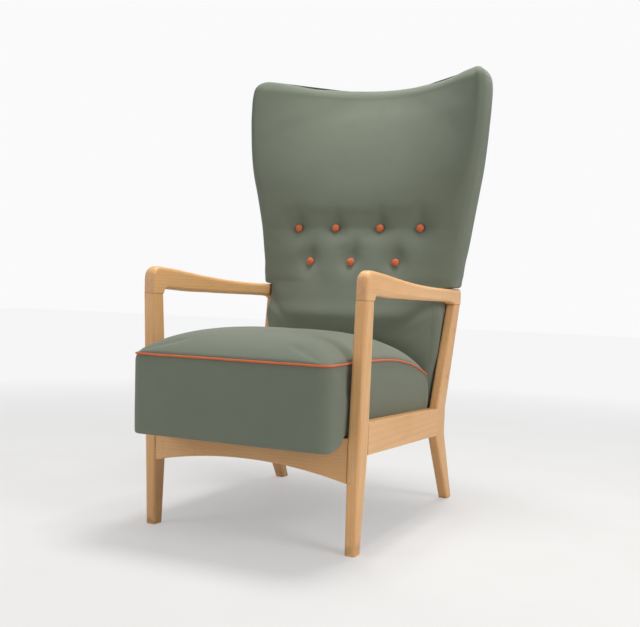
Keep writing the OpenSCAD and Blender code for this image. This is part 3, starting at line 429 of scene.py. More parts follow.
def low_rings(outline):
    """Rings from the underside round to the border's foot: inset and height by point."""
    under = [UNDER_INSET + LIP_INSET * lip(y) / SEAT_LIP for _, y, _, _ in outline]
    lips = [lip(y) for _, y, _, _ in outline]
    rings = [[(inset + 1, UNDER_RISE) for inset in under]]
    rings.append([(inset, -hang) for inset, hang in zip(under, lips)])
    rings += [[(inset, rise - hang) for hang in lips] for inset, rise in LOW_TURN]
    for ring in rings:
        for j, (x, y, _, _) in enumerate(outline):
            inset, h = ring[j]
            ring[j] = (inset + notch(x, y, h), h)
    return rings


def border_rings(outline):
    """Rings from the underside up to the seam: inset and height above the seat's plane by point."""
    rings = low_rings(outline)
    foot = LOW_TURN[-1][1]
    for k in range(1, BORDER_RINGS + 1):
        s = k / BORDER_RINGS
        bow = BORDER_BOW * (2 * s - 1) ** 2
        pull = SEAM_INSET * max(0.0, 1 - (1 - s) / SEAM_PULL_SHARE) ** 2
        row = []
        for x, y, _, _ in outline:
            h = mix(foot - lip(y), piping_line(y) - SEAM_GAP, s)
            row.append((bow + pull + notch(x, y, h) - rear_bulge(y, s), h))
        rings.append(row)
    return rings


def border_points(outline, arc):
    points, uv = [], []
    for ring in border_rings(outline):
        for (x, y, nx, ny), (inset, h), a in zip(outline, ring, arc):
            points.append(seat_point(x - nx * inset, y - ny * inset, h))
            uv.append((a, h))
    return points, uv


def top_points(outline):
    """Rings of the crowned top, from the seam to near the middle."""
    points, uv = [], []
    middle = SEAT_L / 2
    for k in range(1, TOP_RINGS + 1):
        s = 1 - TOP_REACH * (k / TOP_RINGS) ** TOP_EASE
        rise = TOP_RISE if k > 1 else SEAM_RISE
        for x, y, nx, ny in outline:
            px = (x - nx * SEAM_INSET) * s
            py = middle + (y - ny * SEAM_INSET - middle) * s
            points.append(seat_point(px, py, piping_line(py) + rise + crown(px, py)))
            uv.append((px, py))
    return points, uv


def seat_cushion():
    outline = seat_outline(SEAT_STEP)
    n = len(outline)
    arc, whole = arc_lengths(outline)
    points, uv = border_points(outline, arc)
    seam = len(points) // n - 1
    top, top_uv = top_points(outline)
    points += top
    uv += top_uv
    rings = len(points) // n
    faces = ring_faces([i * n for i in range(rings)], n)
    corner_uv = []
    for i, face in enumerate(faces):
        row, j = divmod(i, n)
        if row >= seam:
            corner_uv.extend(outline[v % n][:2] if v // n == seam else uv[v] for v in face)
        else:
            last = j == n - 1
            corner_uv.extend((whole if last and v % n == 0 else uv[v][0], uv[v][1]) for v in face)
    middle = SEAT_L / 2
    top_mid, low_mid = len(points), len(points) + 1
    points.append(seat_point(0, middle, piping_line(middle) + TOP_RISE + SEAT_CROWN))
    points.append(seat_point(0, middle, UNDER_RISE))
    uv.append((0, middle))
    inmost = (rings - 1) * n
    for j in range(n):
        k = (j + 1) % n
        faces.append((inmost + j, inmost + k, top_mid))
        corner_uv.extend(uv[v] for v in faces[-1])
        faces.append((k, j, low_mid))
        corner_uv += [(0, 0)] * 3
    obj = mesh_object("seat_cushion", points, faces, np.asarray(corner_uv) * MM)
    low = len(LOW_TURN) + 2
    held = list(range(low * n)) + list(range(seam * n, (seam + 1) * n)) + [low_mid]
    puff(obj, held, *SEAT_PUFF)
    seat_details(obj)
    open_poles(obj, [top_mid, low_mid])
    subdivide(obj)
    close_poles(obj)
    return obj


def seat_details(obj):
    """Slack of handmade upholstery: shallow dips and puckers along the seam."""
    co = vertex_values(obj, "co")
    for i, (p, q) in enumerate(zip(co, vertex_values(obj, "normal"))):
        x, y, z = p / MM
        y += MIDDLE_Y + SEAT_OVERHANG
        h = z - SEAT_BASE_H + SEAT_SLOPE * y
        if h < 6 - lip(y):
            continue
        below = piping_line(y) - h
        place = Vector(p * 9)
        step = 0.9 * noise.noise(place) + 0.35 * noise.noise(place * 3.1 + Vector((7, 1, 3)))
        along = Vector((x * 0.045, y * 0.045, 5.0))
        if 2 < below < 60:
            step += 0.7 * noise.noise(along) * math.exp(-below / 16)
        if below < -2:
            step += 0.8 * noise.noise(along + Vector((0, 0, 9))) * math.exp(below / 12)
        if abs(below) < 2:
            step = 0
        co[i] += q * step * MM
    set_coords(obj, co)


def piping():
    """A cord of cloth-covered piping that lies on the seam, a little wavy as it was sewn by hand."""
    outline = seat_outline(PIPING_STEP)
    arc, whole = arc_lengths(outline)
    mid = PIPING_R * 0.94
    points = []
    for x, y, nx, ny in outline:
        wave = noise.noise(Vector((x * 0.022, y * 0.022, 2.0))) * 0.9
        r = PIPING_R * (1 + 0.06 * noise.noise(Vector((x * 0.11, y * 0.11, 8.0))))
        for k in range(PIPING_SIDES):
            a = 2 * math.pi * k / PIPING_SIDES
            off = mid - r * math.cos(a)
            points.append(seat_point(x - nx * off, y - ny * off, piping_line(y) + wave + r * math.sin(a)))
    ends = arc + [whole]
    faces, corner_uv = [], []
    for i in range(len(outline)):
        a, b = i * PIPING_SIDES, (i + 1) % len(outline) * PIPING_SIDES
        for k in range(PIPING_SIDES):
            m = (k + 1) % PIPING_SIDES
            faces.append((a + k, b + k, b + m, a + m))
            v0, v1 = (PIPING_R * 2 * math.pi * share / PIPING_SIDES for share in (k, k + 1))
            corner_uv.extend([(ends[i], v0), (ends[i + 1], v0), (ends[i + 1], v1), (ends[i], v1)])
    return mesh_object("seat_piping_cord", points, faces, np.asarray(corner_uv) * MM)


# Back
def back_tables():
    """Functions of height for the four columns of shares: front and rear, each in its middle and edge."""
    zs, rows = [], []
    for low, high, shares in ((BACK_LOW_H, WING_LOW_H, LOW_SHARES), (WING_LOW_H, CHAIR_H, HIGH_SHARES)):
        for share, *values in shares:
            zs.append(mix(low, high, share))
            rows.append(values)
    return [smooth_curve(zs, column) for column in zip(*rows)]


BACK_AT = back_tables()
WING_W = smooth_curve(
    [mix(WING_LOW_H, CHAIR_H, s) for s, _ in WIDTH_SHARES], [HALF_WING * w for _, w in WIDTH_SHARES]
)


def low_w(z):
    """Half width of the back below the wings, where it stands between the rear posts."""
    return mix(*LOW_HALF, clamp((z - LOW_HALF_FROM) / LOW_HALF_L))


def bow_w(z):
    """Half width that the curve across the back is drawn to, which changes smoothly at the wings' foot."""
    return mix(low_w(z), WING_W(z), smooth_step((z - BOW_FROM) / BOW_L))


def across(i, x, z):
    middle, edge = BACK_AT[i](z), BACK_AT[i + 1](z)
    return LUMBAR_Y + BACK_DEPTH * (middle + (edge - middle) * (x / bow_w(z)) ** 2)


def nearest_button(x, z):
    return min(math.hypot(x - bx, z - bz) for bx, bz in BUTTONS)


def tuft(x, z):
    """Depth of the nearest button's dimple."""
    return TUFT_DEPTH * hump(nearest_button(x, z) / TUFT_R)


def pleats(x, z):
    """Grooves between neighbouring buttons and a short pull that runs up from each."""
    total = sum(depth * hump((z - h) / reach) for h, reach, depth in CREASES)
    total *= max(0.0, 1 - (abs(x) / CREASE_HALF) ** 6)
    for bx, bz in BUTTONS:
        dx, dz = x - bx, z - bz
        if dz > 0:
            total += PULL_DEPTH * hump(dz / PULL_H) * (1 - hump(dz / PULL_CLEAR)) * hump(dx / PULL_HALF)
    return total


def swell(x, z):
    """How far the pad stands out between the upper buttons and the crest, most in the middle."""
    t = clamp((z - UPPER_BUTTONS_H) / (CREST_LOW_H - UPPER_BUTTONS_H))
    return PAD_SWELL * math.sin(math.pi * t**0.85) * max(0.0, 1 - (x / bow_w(z)) ** 2) ** 0.8


def front_y(x, z):
    return across(0, x, z) + tuft(x, z) - swell(x, z)


def rear_y(x, z):
    return across(2, x, z)


def sagged(x, z):
    """Height of a point of the back once the crest has sagged in the middle and risen at the ears."""
    fall = clamp((z - SAG_FROM_H) / (CHAIR_H - SAG_FROM_H)) ** 2
    middle = max(0.0, 1 - (x / (SAG_HALF_SHARE * HALF_WING)) ** 2)
    ear = smooth_step((abs(x) / HALF_WING - 0.55) / 0.35)
    return z + (EAR_RISE * ear - TOP_SAG * middle) * fall


def crest_share(x, z):
    """Where the crest's ridge lies between the front and the rear face, further back at the ears."""
    return mix(RIDGE_MIDDLE, RIDGE_EAR, min(1.0, abs(x) / WING_W(z)) ** 3)


def front_fullness(z):
    """How far the pad's front corners stand out before the rear posts, between seat and arms."""
    rise = smooth_step((z - FULL_FROM) / FULL_RISE)
    return FRONT_FULLNESS * rise * smooth_step((FULL_TO - z) / FULL_FALL)


def back_row(z, w, close, z_mid):
    """Half a section across the back, from the middle of the front round to the middle of the rear.
    close is the share of the way that both faces have drawn towards each other, and z_mid the row's
    height in its middle, from which it eases to z at its ends."""
    open_share = 1 - close
    room = rear_y(w, z) - front_y(w, z)
    r = min(EDGE_R, 0.8 * (room - LEAST_ROOM)) * open_share
    full = front_fullness(z)
    e = w + full - r

    def height(x):
        return mix(z_mid, z, smooth_step((x - FOOT_EASE_FROM) / FOOT_EASE_L))

    def drawn(x):
        h = height(x)
        front, rear = front_y(x, h), rear_y(x, h)
        at = crest_share(x, h)
        return front + close * at * (rear - front), rear - close * (1 - at) * (rear - front)

    row = []
    for k in range(FRONT_STEPS):
        x = e * (k / FRONT_STEPS)
        row.append((x, drawn(x)[0]))
    ye = drawn(e)[0]
    for k in range(ARC_STEPS + 1):
        a = math.pi / 2 * k / ARC_STEPS
        row.append((e + r * math.sin(a), ye + r * (1 - math.cos(a))))
    y0 = ye + r
    y1 = drawn(w)[1] - 4.0 * open_share
    side = SIDE_FULLNESS * open_share if z > WING_LOW_H + 20 else 0
    for k in range(1, SIDE_STEPS + 1):
        s = k / SIDE_STEPS
        out = side * math.sin(math.pi * s) + full * (1 - smooth_step(2.6 * s))
        row.append((w + out, mix(y0, y1, s)))
    for k in range(REAR_STEPS + 1):
        x = (w - 3.5 * open_share) * (1 - k / REAR_STEPS)
        row.append((x, drawn(x)[1] - REAR_GAP * open_share))
    return [(x, y, sagged(x, height(x))) for x, y in row]


def low_rows():
    """Rows from the underside's turned edge up to the wings: height, half width, closing, mid height."""
    rows = []
    for k in range(TURN_STEPS, 0, -1):
        a = math.pi / 2 * k / TURN_STEPS
        z = BACK_LOW_H + LOW_TURN_R * (1 - math.sin(a))
        inset = 1 - math.cos(a)
        rows.append((z, low_w(BACK_LOW_H) - LOW_TURN_R * inset, min(inset, 0.97), z))
    z = BACK_LOW_H + 6
    while z < WING_LOW_H - 24:
        rows.append((z, low_w(z), 0.0, z))
        z += ROW_STEP
    return rows


def foot_rows():
    """Rows where the wings begin, above the arms. In the back's middle they spread evenly in height."""
    wing = WING_W(WING_LOW_H + 12)
    foot = [
        (WING_LOW_H - 20, 242.0),
        (WING_LOW_H - 10, 243.4),
        (WING_FOOT_H - 0.6, 247.0),
        (WING_FOOT_H, 258.0),
    ]
    for k in range(1, TURN_STEPS + 1):
        a = math.pi / 2 * k / TURN_STEPS
        foot.append((WING_FOOT_H + 0.1 + FOOT_R * (1 - math.cos(a)), mix(262.0, wing, math.sin(a))))
    first, last = WING_LOW_H - 20, WING_LOW_H + 6
    return [(h, w, 0.0, mix(first, last, k / (len(foot) - 1))) for k, (h, w) in enumerate(foot)]


def high_rows():
    """Rows up the wings and over the crest, where the front and the rear face close."""
    rows = []
    z = WING_LOW_H + 14
    while z < CREST_LOW_H - 4:
        rows.append((z, WING_W(z), 0.0, z))
        z += ROW_STEP
    for k in range(CREST_STEPS + 1):
        a = math.pi / 2 * k / CREST_STEPS
        z = mix(CREST_LOW_H, CHAIR_H, math.sin(a))
        rows.append((z, WING_W(z), min(1 - math.cos(a), CREST_CLOSED), z))
    return rows


def back_caps(count, n):
    """Faces that close the underside and the crest, joined side by side across the thin way."""
    half_n = n // 2
    caps = []
    for first, flip in ((0, True), ((count - 1) * n, False)):
        for side in (1, -1):
            for j in range(half_n // 2):
                cap = [first + (side * v) % n for v in (j, j + 1, half_n - j - 1, half_n - j)]
                caps.append(tuple(cap) if flip == (side == 1) else tuple(reversed(cap)))
    return caps


def back_held(co, n):
    """Points that the cloth simulation holds: the rear, the lowest rows and those at the buttons."""
    held = []
    for i, (x, y, z) in enumerate(co / MM):
        along = min(i % n, n - i % n)
        if along >= FRONT_STEPS + ARC_STEPS + SIDE_STEPS or i < HELD_ROWS * n:
            held.append(i)
        elif along < FRONT_STEPS and nearest_button(x, z) < HELD_R:
            held.append(i)
    return held


def back_cushion():
    rows = low_rows() + foot_rows() + high_rows()
    points, uv = [], []
    for row in rows:
        half = back_row(*row)
        ring = half + [(-x, y, h) for x, y, h in half[-2:0:-1]]
        run = [0.0]
        for p, q in zip(half, half[1:]):
            run.append(run[-1] + math.hypot(q[0] - p[0], q[1] - p[1]))
        run += [-v for v in run[-2:0:-1]]
        points += ring
        uv.extend((u, p[2]) for u, p in zip(run, ring))
    n = len(points) // len(rows)
    half_n = n // 2
    faces = ring_faces([i * n for i in range(len(rows))], n)
    corner_uv = []
    for face in faces:
        turn = any(v % n == half_n for v in face) and any(v % n > half_n for v in face)
        corner_uv.extend((-uv[v][0] if turn and v % n == half_n else uv[v][0], uv[v][1]) for v in face)
    caps = back_caps(len(rows), n)
    corner_uv.extend(uv[v] for cap in caps for v in cap)
    obj = mesh_object("back_cushion", points, faces + caps, np.asarray(corner_uv) * MM)
    puff(obj, back_held(vertex_values(obj, "co"), n), *BACK_PUFF)
    back_details(obj)
    subdivide(obj)
    return obj


def slack_folds(x, z):
    """Slanting folds low on both sides of the back, where the cover turns round the frame."""
    across_fold = (z - FOLDS_H) - FOLDS_SLANT * (abs(x) - 200)
    ridge = sum(rise * hump((across_fold - offset) / reach) for offset, reach, rise in FOLDS)
    fade = smooth_step((z - FOLDS_FROM) / FOLDS_EASE) * smooth_step((FOLDS_TO - z) / FOLDS_EASE)
    return ridge * fade * hump((abs(x) - FOLDS_X) / FOLDS_HALF)


def back_details(obj):
    """Slack all over the front, the pulls at the buttons and the folds low at the sides."""
    co = vertex_values(obj, "co")
    for i, (p, q) in enumerate(zip(co, vertex_values(obj, "normal"))):
        x, _, z = p / MM
        place = Vector((p[0] * 8, p[1] * 8 + 3, p[2] * 8))
        step = 0.9 * noise.noise(place) + 0.3 * noise.noise(place * 3.3 + Vector((2, 5, 1)))
        co[i] += q * step * clamp(0.3 - 1.6 * q[1]) * MM
        if q[1] < -0.3 and WING_LOW_H - 60 < z < CREST_LOW_H:
            co[i][1] += pleats(x, z) * MM
        if q[1] < 0.2 and FOLDS_FROM < z < FOLDS_TO:
            co[i] += q * slack_folds(x, z) * MM
    set_coords(obj, co)


def panel_rows():
    """Heights of the rear panel's rows, and how far the back has closed at each."""
    count = int((CREST_LOW_H - BACK_LOW_H) / ROW_STEP)
    rows = [(BACK_LOW_H + 0.4 + k * ROW_STEP, 0.0) for k in range(count)]
    for k in range(REAR_TURN_STEPS + 1):
        a = REAR_TURN * k / REAR_TURN_STEPS
        rows.append((mix(CREST_LOW_H, CHAIR_H, math.sin(a)), 1 - math.cos(a)))
    return rows


def panel_border(count, cols):
    """Numbers of the points round the panel's edge, in order."""
    border = list(range(cols))
    border += [i * cols + cols - 1 for i in range(1, count)]
    border += [(count - 1) * cols + j for j in range(cols - 2, -1, -1)]
    border += [i * cols for i in range(count - 2, 0, -1)]
    return border


def outside_back():
    """The rear panel of cloth, drawn flat to the cushion, with its edges tucked in."""
    rows = panel_rows()
    cols = REAR_COLUMNS
    outer, inner = [], []
    for z, close in rows:
        w = (low_w(z) if z < WING_LOW_H + 4 else WING_W(z)) - REAR_INSET
        for j in range(cols):
            x = w * (2 * j / (cols - 1) - 1)
            drawn = (1 - crest_share(x, z)) * (rear_y(x, z) - front_y(x, z))
            tuck = 1.3 * max(0.0, (abs(x) / w - 0.975) / 0.025) ** 2
            lump = 0.7 * noise.noise(Vector((x * 0.011, z * 0.011, 6.0))) * (1 - close)
            y = rear_y(x, z) - close * drawn
            h = sagged(x, z)
            outer.append((x, y - tuck + lump - 0.3, h + 0.4 * COVER_T * close))
            inner.append((x, y - COVER_T * (1 - close) - 0.2, h - 0.8 * COVER_T * close))
    m = len(outer)
    faces = []
    for i in range(len(rows) - 1):
        for j in range(cols - 1):
            a, b = i * cols + j, (i + 1) * cols + j
            faces.append((a, b, b + 1, a + 1))
            faces.append((m + a, m + a + 1, m + b + 1, m + b))
    border = panel_border(len(rows), cols)
    for a, b in zip(border, border[1:] + border[:1]):
        faces.append((a, b, m + b, m + a))
    points = outer + inner
    corner_uv = [(points[v][0] * MM, points[v][2] * MM) for face in faces for v in face]
    return mesh_object("outside_back_cloth", points, faces, corner_uv)


def turned(a, b, angle):
    """Two coordinates turned by an angle."""
    return a * math.cos(angle) - b * math.sin(angle), b * math.cos(angle) + a * math.sin(angle)


def button_points(number, bx, bz):
    """Rings of one dome, leant to lie on the back there and turned a little, each in its own way."""
    slope = math.atan2(front_y(bx, bz + 26) - front_y(bx, bz - 26), 52)
    lean = slope * 0.8 + 0.05 * math.sin(number * 2.1)
    turn = 0.06 * math.cos(number * 1.7)
    y0 = front_y(bx, bz) - BUTTON_SINK
    points = []
    for r, h in BUTTON_DOME:
        for k in range(BUTTON_TURNS):
            a = 2 * math.pi * k / BUTTON_TURNS
            gather = 1 + (0.014 * math.sin(11 * a + number) if r > 0.8 else 0)
            y, z = turned(-h, BUTTON_R * r * gather * math.sin(a), -lean)
            x, y = turned(BUTTON_R * r * gather * math.cos(a), y, turn)
            points.append((bx + x, y0 + y, bz + z))
    return points


def covered_buttons():
    """Seven cloth-covered domes, each with small gathers at its rim."""
    points, faces, corner_uv = [], [], []
    turns, rings = BUTTON_TURNS, len(BUTTON_DOME)
    for number, (bx, bz) in enumerate(BUTTONS):
        start = len(points)
        points += button_points(number, bx, bz)
        new = ring_faces([start + i * turns for i in range(rings)], turns)
        new.append(tuple(start + k for k in range(turns - 1, -1, -1)))
        new.append(tuple(start + (rings - 1) * turns + k for k in range(turns)))
        faces += new
        corner_uv += [((points[v][0] - bx) * MM, (points[v][2] - bz) * MM) for face in new for v in face]
    return mesh_object("covered_buttons", points, faces, corner_uv)


# Materials
def preset(node, values):
    for name, value in values.items():
        node.inputs[name].default_value = value


def new_material(name):
    material = bpy.data.materials.new(name)
    material.use_nodes = True
    tree = material.node_tree
    tree.nodes.clear()
    out = tree.nodes.new("ShaderNodeOutputMaterial")
    shader = tree.nodes.new("ShaderNodeBsdfPrincipled")
    tree.links.new(shader.outputs["BSDF"], out.inputs["Surface"])
    return material, tree, shader


class Graph:
    """Short names for the nodes that the materials use."""

    def __init__(self, tree):
        self.tree = tree

    def node(self, kind, **settings):
        made = self.tree.nodes.new(kind)
        for name, value in settings.items():
            setattr(made, name, value)
        return made

    def link(self, source, target):
        """Joins an output to an input, or sets the input where the source is a plain value."""
        if isinstance(source, (int, float, tuple)):
            target.default_value = source
        else:
            self.tree.links.new(source, target)

    def coords(self, kind):
        return self.node("ShaderNodeTexCoord").outputs[kind]

    def uv(self):
        return self.node("ShaderNodeUVMap", uv_map="Cloth").outputs["UV"]

    def mapped(self, vector, scale=(1, 1, 1), rotation=(0, 0, 0), location=(0, 0, 0)):
        made = self.node("ShaderNodeMapping")
        self.link(vector, made.inputs["Vector"])
        preset(made, {"Scale": scale, "Rotation": rotation, "Location": location})
        return made.outputs["Vector"]

    def noise(self, vector, scale, detail=3.0, roughness=0.5):
        made = self.node("ShaderNodeTexNoise")
        self.link(vector, made.inputs["Vector"])
        preset(made, {"Scale": scale, "Detail": detail, "Roughness": roughness})
        return made.outputs["Fac"]

    def cells(self, vector, scale):
        made = self.node("ShaderNodeTexVoronoi")
        self.link(vector, made.inputs["Vector"])
        made.inputs["Scale"].default_value = scale
        return made.outputs["Distance"]

    def math(self, operation, a, b=0.0):
        made = self.node("ShaderNodeMath", operation=operation)
        self.link(a, made.inputs[0])
        self.link(b, made.inputs[1])
        return made.outputs[0]

    def times(self, a, b):
        return self.math("MULTIPLY", a, b)

    def plus(self, a, b):
        return self.math("ADD", a, b)

    def sine(self, a):
        return self.math("SINE", a)

    def span(self, value, low, high, to_low=0.0, to_high=1.0):
        made = self.node("ShaderNodeMapRange", clamp=True)
        self.link(value, made.inputs["Value"])
        preset(made, {"From Min": low, "From Max": high, "To Min": to_low, "To Max": to_high})
        return made.outputs["Result"]

    def blend(self, factor, a, b, mode="MIX"):
        made = self.node("ShaderNodeMix", data_type="RGBA", blend_type=mode)
        self.link(factor, made.inputs["Factor"])
        self.link(a, made.inputs[6])
        self.link(b, made.inputs[7])
        return made.outputs[2]

    def mixed(self, share, a, b):
        made = self.node("ShaderNodeMixShader")
        for source, target in zip((share, a, b), made.inputs):
            self.link(source, target)
        return made.outputs[0]

    def separate(self, vector):
        made = self.node("ShaderNodeSeparateXYZ")
        self.link(vector, made.inputs[0])
        return made.outputs

    def bump(self, height, distance, strength=1.0):
        made = self.node("ShaderNodeBump")
        self.link(height, made.inputs["Height"])
        preset(made, {"Distance": distance, "Strength": strength})
        return made.outputs["Normal"]


def srgb(r, g, b):
    def channel(v):
        v /= 255
        return v / 12.92 if v <= 0.04045 else ((v + 0.055) / 1.055) ** 2.4

    return (channel(r), channel(g), channel(b), 1.0)


def wool(name, base, dark, light, pitch, mottle):
    """Woven wool: a fine two-by-two twill with heathered yarn, soft mottling and a little lint."""
    material, tree, shader = new_material(name)
    g = Graph(tree)
    place = g.coords("Object")
    uv = g.uv()
    axes = g.separate(uv)
    turn = 2 * math.pi / pitch
    warp = g.sine(g.times(axes[0], turn))
    twill = g.sine(g.times(g.plus(axes[0], axes[1]), turn / 2))
    weft = g.sine(g.times(axes[1], turn))
    weave = g.times(g.plus(g.times(warp, weft), twill), 0.5)
    fibre = g.noise(uv, 1500, 2.0)
    heather = g.noise(uv, 620, 3.0, 0.7)
    broad = g.noise(place, 9.0, 3.0, 0.55)
    cloud = g.noise(place, 38.0, 4.0, 0.6)
    tone = g.plus(g.times(broad, 0.55), g.times(cloud, 0.45))
    colour = g.blend(g.span(tone, 0.5 - mottle, 0.5 + mottle), dark, light)
    colour = g.blend(0.6, colour, base)
    factor = g.times(g.span(heather, 0.3, 0.7, 0.86, 1.14), g.span(weave, -1.0, 1.0, 0.9, 1.08))
    shade = g.node("ShaderNodeCombineColor")
    for channel in shade.inputs[:3]:
        g.link(factor, channel)
    colour = g.blend(1.0, colour, shade.outputs[0], "MULTIPLY")
    lint = g.span(g.cells(g.mapped(place, (1, 1, 1), (0.4, 0.2, 0.7)), 26.0), 0.012, 0.022, 0.5, 0.0)
    colour = g.blend(lint, colour, srgb(190, 196, 180))
    g.link(colour, shader.inputs["Base Color"])
    g.link(g.span(cloud, 0.3, 0.7, 0.86, 0.96), shader.inputs["Roughness"])
    height = g.plus(g.times(weave, 0.5), g.times(fibre, 0.9))
    g.link(g.bump(height, 0.00022, 0.8), shader.inputs["Normal"])
    preset(shader, {"Sheen Weight": 0.22, "Sheen Roughness": 0.45, "Specular IOR Level": 0.18})
    return material


def growth_rings(g, slow, seed):
    """Rings of growth, seen as slow lines along the grain."""
    rings = g.node("ShaderNodeTexWave", wave_type="RINGS", rings_direction="Z", wave_profile="SAW")
    heart = g.mapped(slow, (1, 1, 1), (0.06, 0.03, 0), (0.085 + 0.02 * math.sin(seed), 0.05, 0))
    g.link(heart, rings.inputs["Vector"])
    preset(rings, {"Scale": 46.0, "Distortion": 2.2, "Detail": 2.0, "Detail Scale": 0.6})
    return rings.outputs["Fac"]


def dark_near_floor(g, colour, place, axes):
    """Patches darker towards the bottom of the feet."""
    foot_patches = g.span(g.noise(place, 46.0, 4.0, 0.6), 0.5, 0.72)
    low = g.times(g.span(axes[2], 0.035, 0.0, 0.0, 0.75), foot_patches)
    return g.blend(low, colour, srgb(120, 88, 60))


def joint_lines(g, colour, axes, joints):
    """A dark line at each glued joint, given by its height, lowest y, highest y and softness."""
    for height, y0, y1, soft in joints:
        off = g.math("ABSOLUTE", g.math("SUBTRACT", axes[2], height))
        near = g.span(off, soft * 0.4, soft, 1.0, 0.0)
        inside = g.times(g.math("GREATER_THAN", axes[1], y0), g.math("LESS_THAN", axes[1], y1))
        colour = g.blend(g.times(g.times(near, inside), 0.7), colour, srgb(104, 70, 44))
    return colour


def end_grain(g, colour, place, axes):
    """Stained end grain on the front of an arm."""
    front = g.span(axes[1], *ARM_END, 0.0, 1.0)
    patches = g.span(g.noise(place, 60.0, 4.0, 0.65), 0.36, 0.62, 0.35, 0.85)
    return g.blend(g.times(front, patches), colour, srgb(178, 134, 106))


def beech(name, axis, seed, tint=1.0, joints=()):
    """Oiled beech whose grain runs along one axis: growth rings, fibres, short flecks, the arms' stained
    end grain and patches darker low on the feet.
    """
    material, tree, shader = new_material(name)
    g = Graph(tree)
    place = g.coords("Object")
    axes = g.separate(place)
    along = {"X": (0, math.pi / 2, 0), "Y": (math.pi / 2, 0, 0), "Z": (0, 0, 0)}[axis]
    grain = g.mapped(place, (1, 1, 1), along, (0.031 * seed, 0.047 * seed, 0.013 * seed))
    slow = g.mapped(grain, (1, 1, 0.09))
    warp = g.noise(slow, 16.0, 2.0)
    fibre = g.noise(g.mapped(grain, (1, 1, 0.018)), 900.0, 4.0, 0.65)
    fine = g.noise(g.mapped(grain, (1, 1, 0.05)), 2600.0, 2.0, 0.6)
    fleck = g.span(g.noise(g.mapped(grain, (1, 1, 0.13)), 1300.0, 1.0, 0.4), 0.66, 0.74)
    broad = g.noise(g.mapped(grain, (1, 1, 0.3)), 14.0, 3.0)
    pale = srgb(244 * tint, 196 * tint, 140 * tint)
    mid = srgb(234 * tint, 179 * tint, 119 * tint)
    deep = srgb(200 * tint, 141 * tint, 86 * tint)
    colour = g.blend(g.span(broad, 0.25, 0.75), pale, mid)
    line = g.times(g.span(growth_rings(g, slow, seed), 0.35, 1.0), g.span(warp, 0.2, 0.8, 0.06, 0.34))
    colour = g.blend(line, colour, deep)
    colour = g.blend(g.span(fibre, 0.35, 0.75, 0.0, 0.35), colour, deep)
    colour = g.blend(g.times(fleck, 0.45), colour, srgb(150, 102, 64))
    colour = dark_near_floor(g, colour, place, axes)
    colour = joint_lines(g, colour, axes, joints)
    if axis == "Y":
        colour = end_grain(g, colour, place, axes)
    g.link(colour, shader.inputs["Base Color"])
    gloss = g.span(g.plus(fibre, g.times(broad, 0.4)), 0.4, 1.0, 0.36, 0.55)
    g.link(gloss, shader.inputs["Roughness"])
    height = g.plus(g.times(fibre, 0.6), g.times(fine, 0.4))
    g.link(g.bump(height, 0.00012, 0.6), shader.inputs["Normal"])
    preset(shader, {"Coat Weight": 0.12, "Coat Roughness": 0.3, "Specular IOR Level": 0.4})
    return material


def plain_cloth(name, base, dark, pitch):
    """Coarse cloth for webbing, hessian, twine and the dust cover, woven in the piece's own place."""
    material, tree, shader = new_material(name)
    g = Graph(tree)
    place = g.coords("Object")
    axes = g.separate(place)
    turn = 2 * math.pi / pitch
    warp = g.sine(g.times(axes[0], turn))
    weft = g.sine(g.times(g.plus(axes[1], axes[2]), turn))
    weave = g.times(warp, weft)
    tone = g.noise(place, 90.0, 4.0, 0.6)
    factor = g.plus(g.times(g.span(weave, -1, 1), 0.5), g.times(tone, 0.5))
    g.link(g.blend(g.span(factor, 0.25, 0.75), dark, base), shader.inputs["Base Color"])
    g.link(g.bump(g.plus(weave, tone), 0.0003, 0.6), shader.inputs["Normal"])
    preset(shader, {"Roughness": 0.94, "Specular IOR Level": 0.15})
    return material


def steel(name):
    """Drawn steel wire, a little dull."""
    material, tree, shader = new_material(name)
    g = Graph(tree)
    place = g.coords("Object")
    streak = g.noise(g.mapped(place, (1, 1, 0.1)), 900.0, 3.0)
    colour = g.blend(g.span(streak, 0.3, 0.7), srgb(120, 120, 122), srgb(186, 188, 190))
    g.link(colour, shader.inputs["Base Color"])
    g.link(g.span(streak, 0.3, 0.7, 0.3, 0.45), shader.inputs["Roughness"])
    preset(shader, {"Metallic": 1.0})
    return material


def dress(node, material):
    mesh = NODES[node].data
    mesh.materials.clear()
    mesh.materials.append(material)
    for polygon in mesh.polygons:
        polygon.material_index = 0


def smooth_node(node, degrees):
    mesh = NODES[node].data
    mesh.shade_smooth()
    mesh.set_sharp_from_angle(angle=math.radians(degrees))


